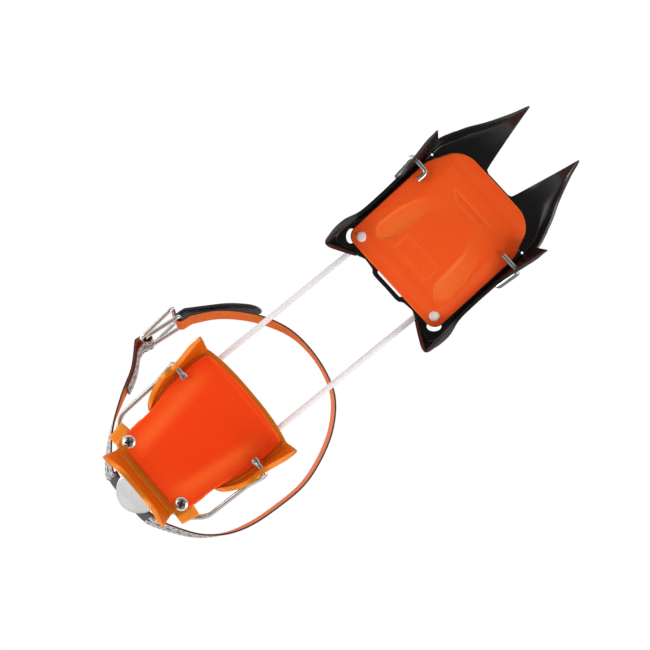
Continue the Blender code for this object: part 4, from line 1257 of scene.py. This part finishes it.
def buckle(along, outward):
    half = STRAP_WIDTH / 2 + RING_BAR + 0.9
    ring("buckle_ring_inner", BUCKLE_REAR, BUCKLE_FRONT, half, "strap")
    front = BUCKLE_FRONT + outward * 5.4 - along * 1.5
    ring("buckle_ring_outer", BUCKLE_REAR - along * 3.6, front, half + 2 * RING_BAR + 2 * GAP, "buckle_ring")


def ring(name, rear, front, half, body):
    across = strap_across(*rear) * half
    base = Vector((*rear, strap_height(rear.x)))
    far = Vector((*front, strap_height(front.x)))
    corners = [base - across, base + across, far + across, far - across]
    path = []
    for k, here in enumerate(corners):
        back, on = ((other - here).normalized() * 3.0 for other in (corners[k - 1], corners[(k + 1) % 4]))
        path += arc(here + back, here, here + on, 8)
    path = spaced([HEEL @ p for p in path], 0.6, closed=True)
    data = tube(name, path, RING_BAR, closed=True)
    add_object(name + "_look", data, PLATED_STEEL, body, "bright_steel", name)


# ---------------------------------------------------------------- stage


AMBIENT = 0.16
HORIZON = 1.5
LIGHTS = [  # name, spot, aim, size, power
    ("key below", (0.30, 0.75, -0.60), (0.05, 0, 0.03), 0.5, 4.0),
    ("fill below", (-0.6, -0.5, -0.7), (-0.05, 0, 0.03), 0.6, 2.5),
    ("key above", (-0.5, -0.6, 1.0), (0, 0, 0.03), 0.6, 7),
    ("fill above", (0.7, 0.5, 0.8), (0, 0, 0.03), 0.6, 3.5)]


def stage():
    """A pale floor that is clear from below, bright surroundings and four lights."""
    bm = bmesh.new()
    bmesh.ops.create_grid(bm, x_segments=1, y_segments=1, size=3.0)
    data = bpy.data.meshes.new("floor")
    bm.to_mesh(data)
    bm.free()
    floor = placed("floor", data)
    floor.location = (0, 0, -0.0003)
    floor.visible_shadow = False
    floor.visible_glossy = False
    look = Look("pale floor", (0.86, 0.86, 0.86), 0.6)
    clear = look.node("ShaderNodeBsdfTransparent")
    choose = look.node("ShaderNodeMixShader")
    side = look.node("ShaderNodeNewGeometry")
    look.links.new(side.outputs["Backfacing"], choose.inputs["Fac"])
    look.links.new(look.shader.outputs[0], choose.inputs[1])
    look.links.new(clear.outputs[0], choose.inputs[2])
    look.links.new(choose.outputs[0], look.nodes["Material Output"].inputs["Surface"])
    data.materials.append(look.material)
    surroundings()
    for light in LIGHTS:
        area_light(*light)


def surroundings():
    """White to the camera. As a light it is brightest near the horizon."""
    world = bpy.data.worlds.new("studio")
    bpy.context.scene.world = world
    world.use_nodes = True
    tree = world.node_tree
    nodes, links = tree.nodes, tree.links

    def math(*terms):
        return math_node(tree, *terms)

    direction = nodes.new("ShaderNodeTexCoord")
    split = nodes.new("ShaderNodeSeparateXYZ")
    ray = nodes.new("ShaderNodeLightPath")
    links.new(direction.outputs["Generated"], split.inputs[0])
    level = math("SUBTRACT", 1.0, math("ABSOLUTE", split.outputs["Z"]))
    glow = math("ADD", AMBIENT, math("MULTIPLY", HORIZON, math("POWER", level, 2.0)))
    seen = ray.outputs["Is Camera Ray"]
    strength = math("ADD", seen, math("MULTIPLY", glow, math("SUBTRACT", 1.0, seen)))
    links.new(strength, nodes["Background"].inputs["Strength"])
    nodes["Background"].inputs["Color"].default_value = (1, 1, 1, 1)


def area_light(name, spot, aim, size, power):
    light = bpy.data.lights.new(name, "AREA")
    light.shape = "SQUARE"
    light.size = size
    light.energy = power
    made = placed(name, light)
    made.location = spot
    made.rotation_euler = (Vector(aim) - Vector(spot)).to_track_quat("-Z", "Y").to_euler()


CAMERA_DISTANCE = 1.1


def camera():
    """Looks straight up at the points from below, turned so that the crampon lies across the frame."""
    data = bpy.data.cameras.new("camera")
    data.sensor_width = 36
    data.lens = 101.5
    data.clip_start = 0.01
    made = placed("camera", data)
    right = Vector((0.7638, 0.6455, 0))
    up = Vector((0.6455, -0.7638, 0))
    axes = Matrix((right, up, right.cross(up))).transposed().to_4x4()
    made.matrix_world = Matrix.Translation((-0.0015, -0.0012, PLATFORM_Z * MM - CAMERA_DISTANCE)) @ axes
    bpy.context.scene.camera = made
    bpy.context.scene.view_settings.view_transform = "Standard"


def main():
    camera()
    cords()
    front_frame()
    heel_frame()
    plates()
    fasteners()
    hardware()
    wires()
    heel_lever()
    ankle_strap()
    stage()


main()
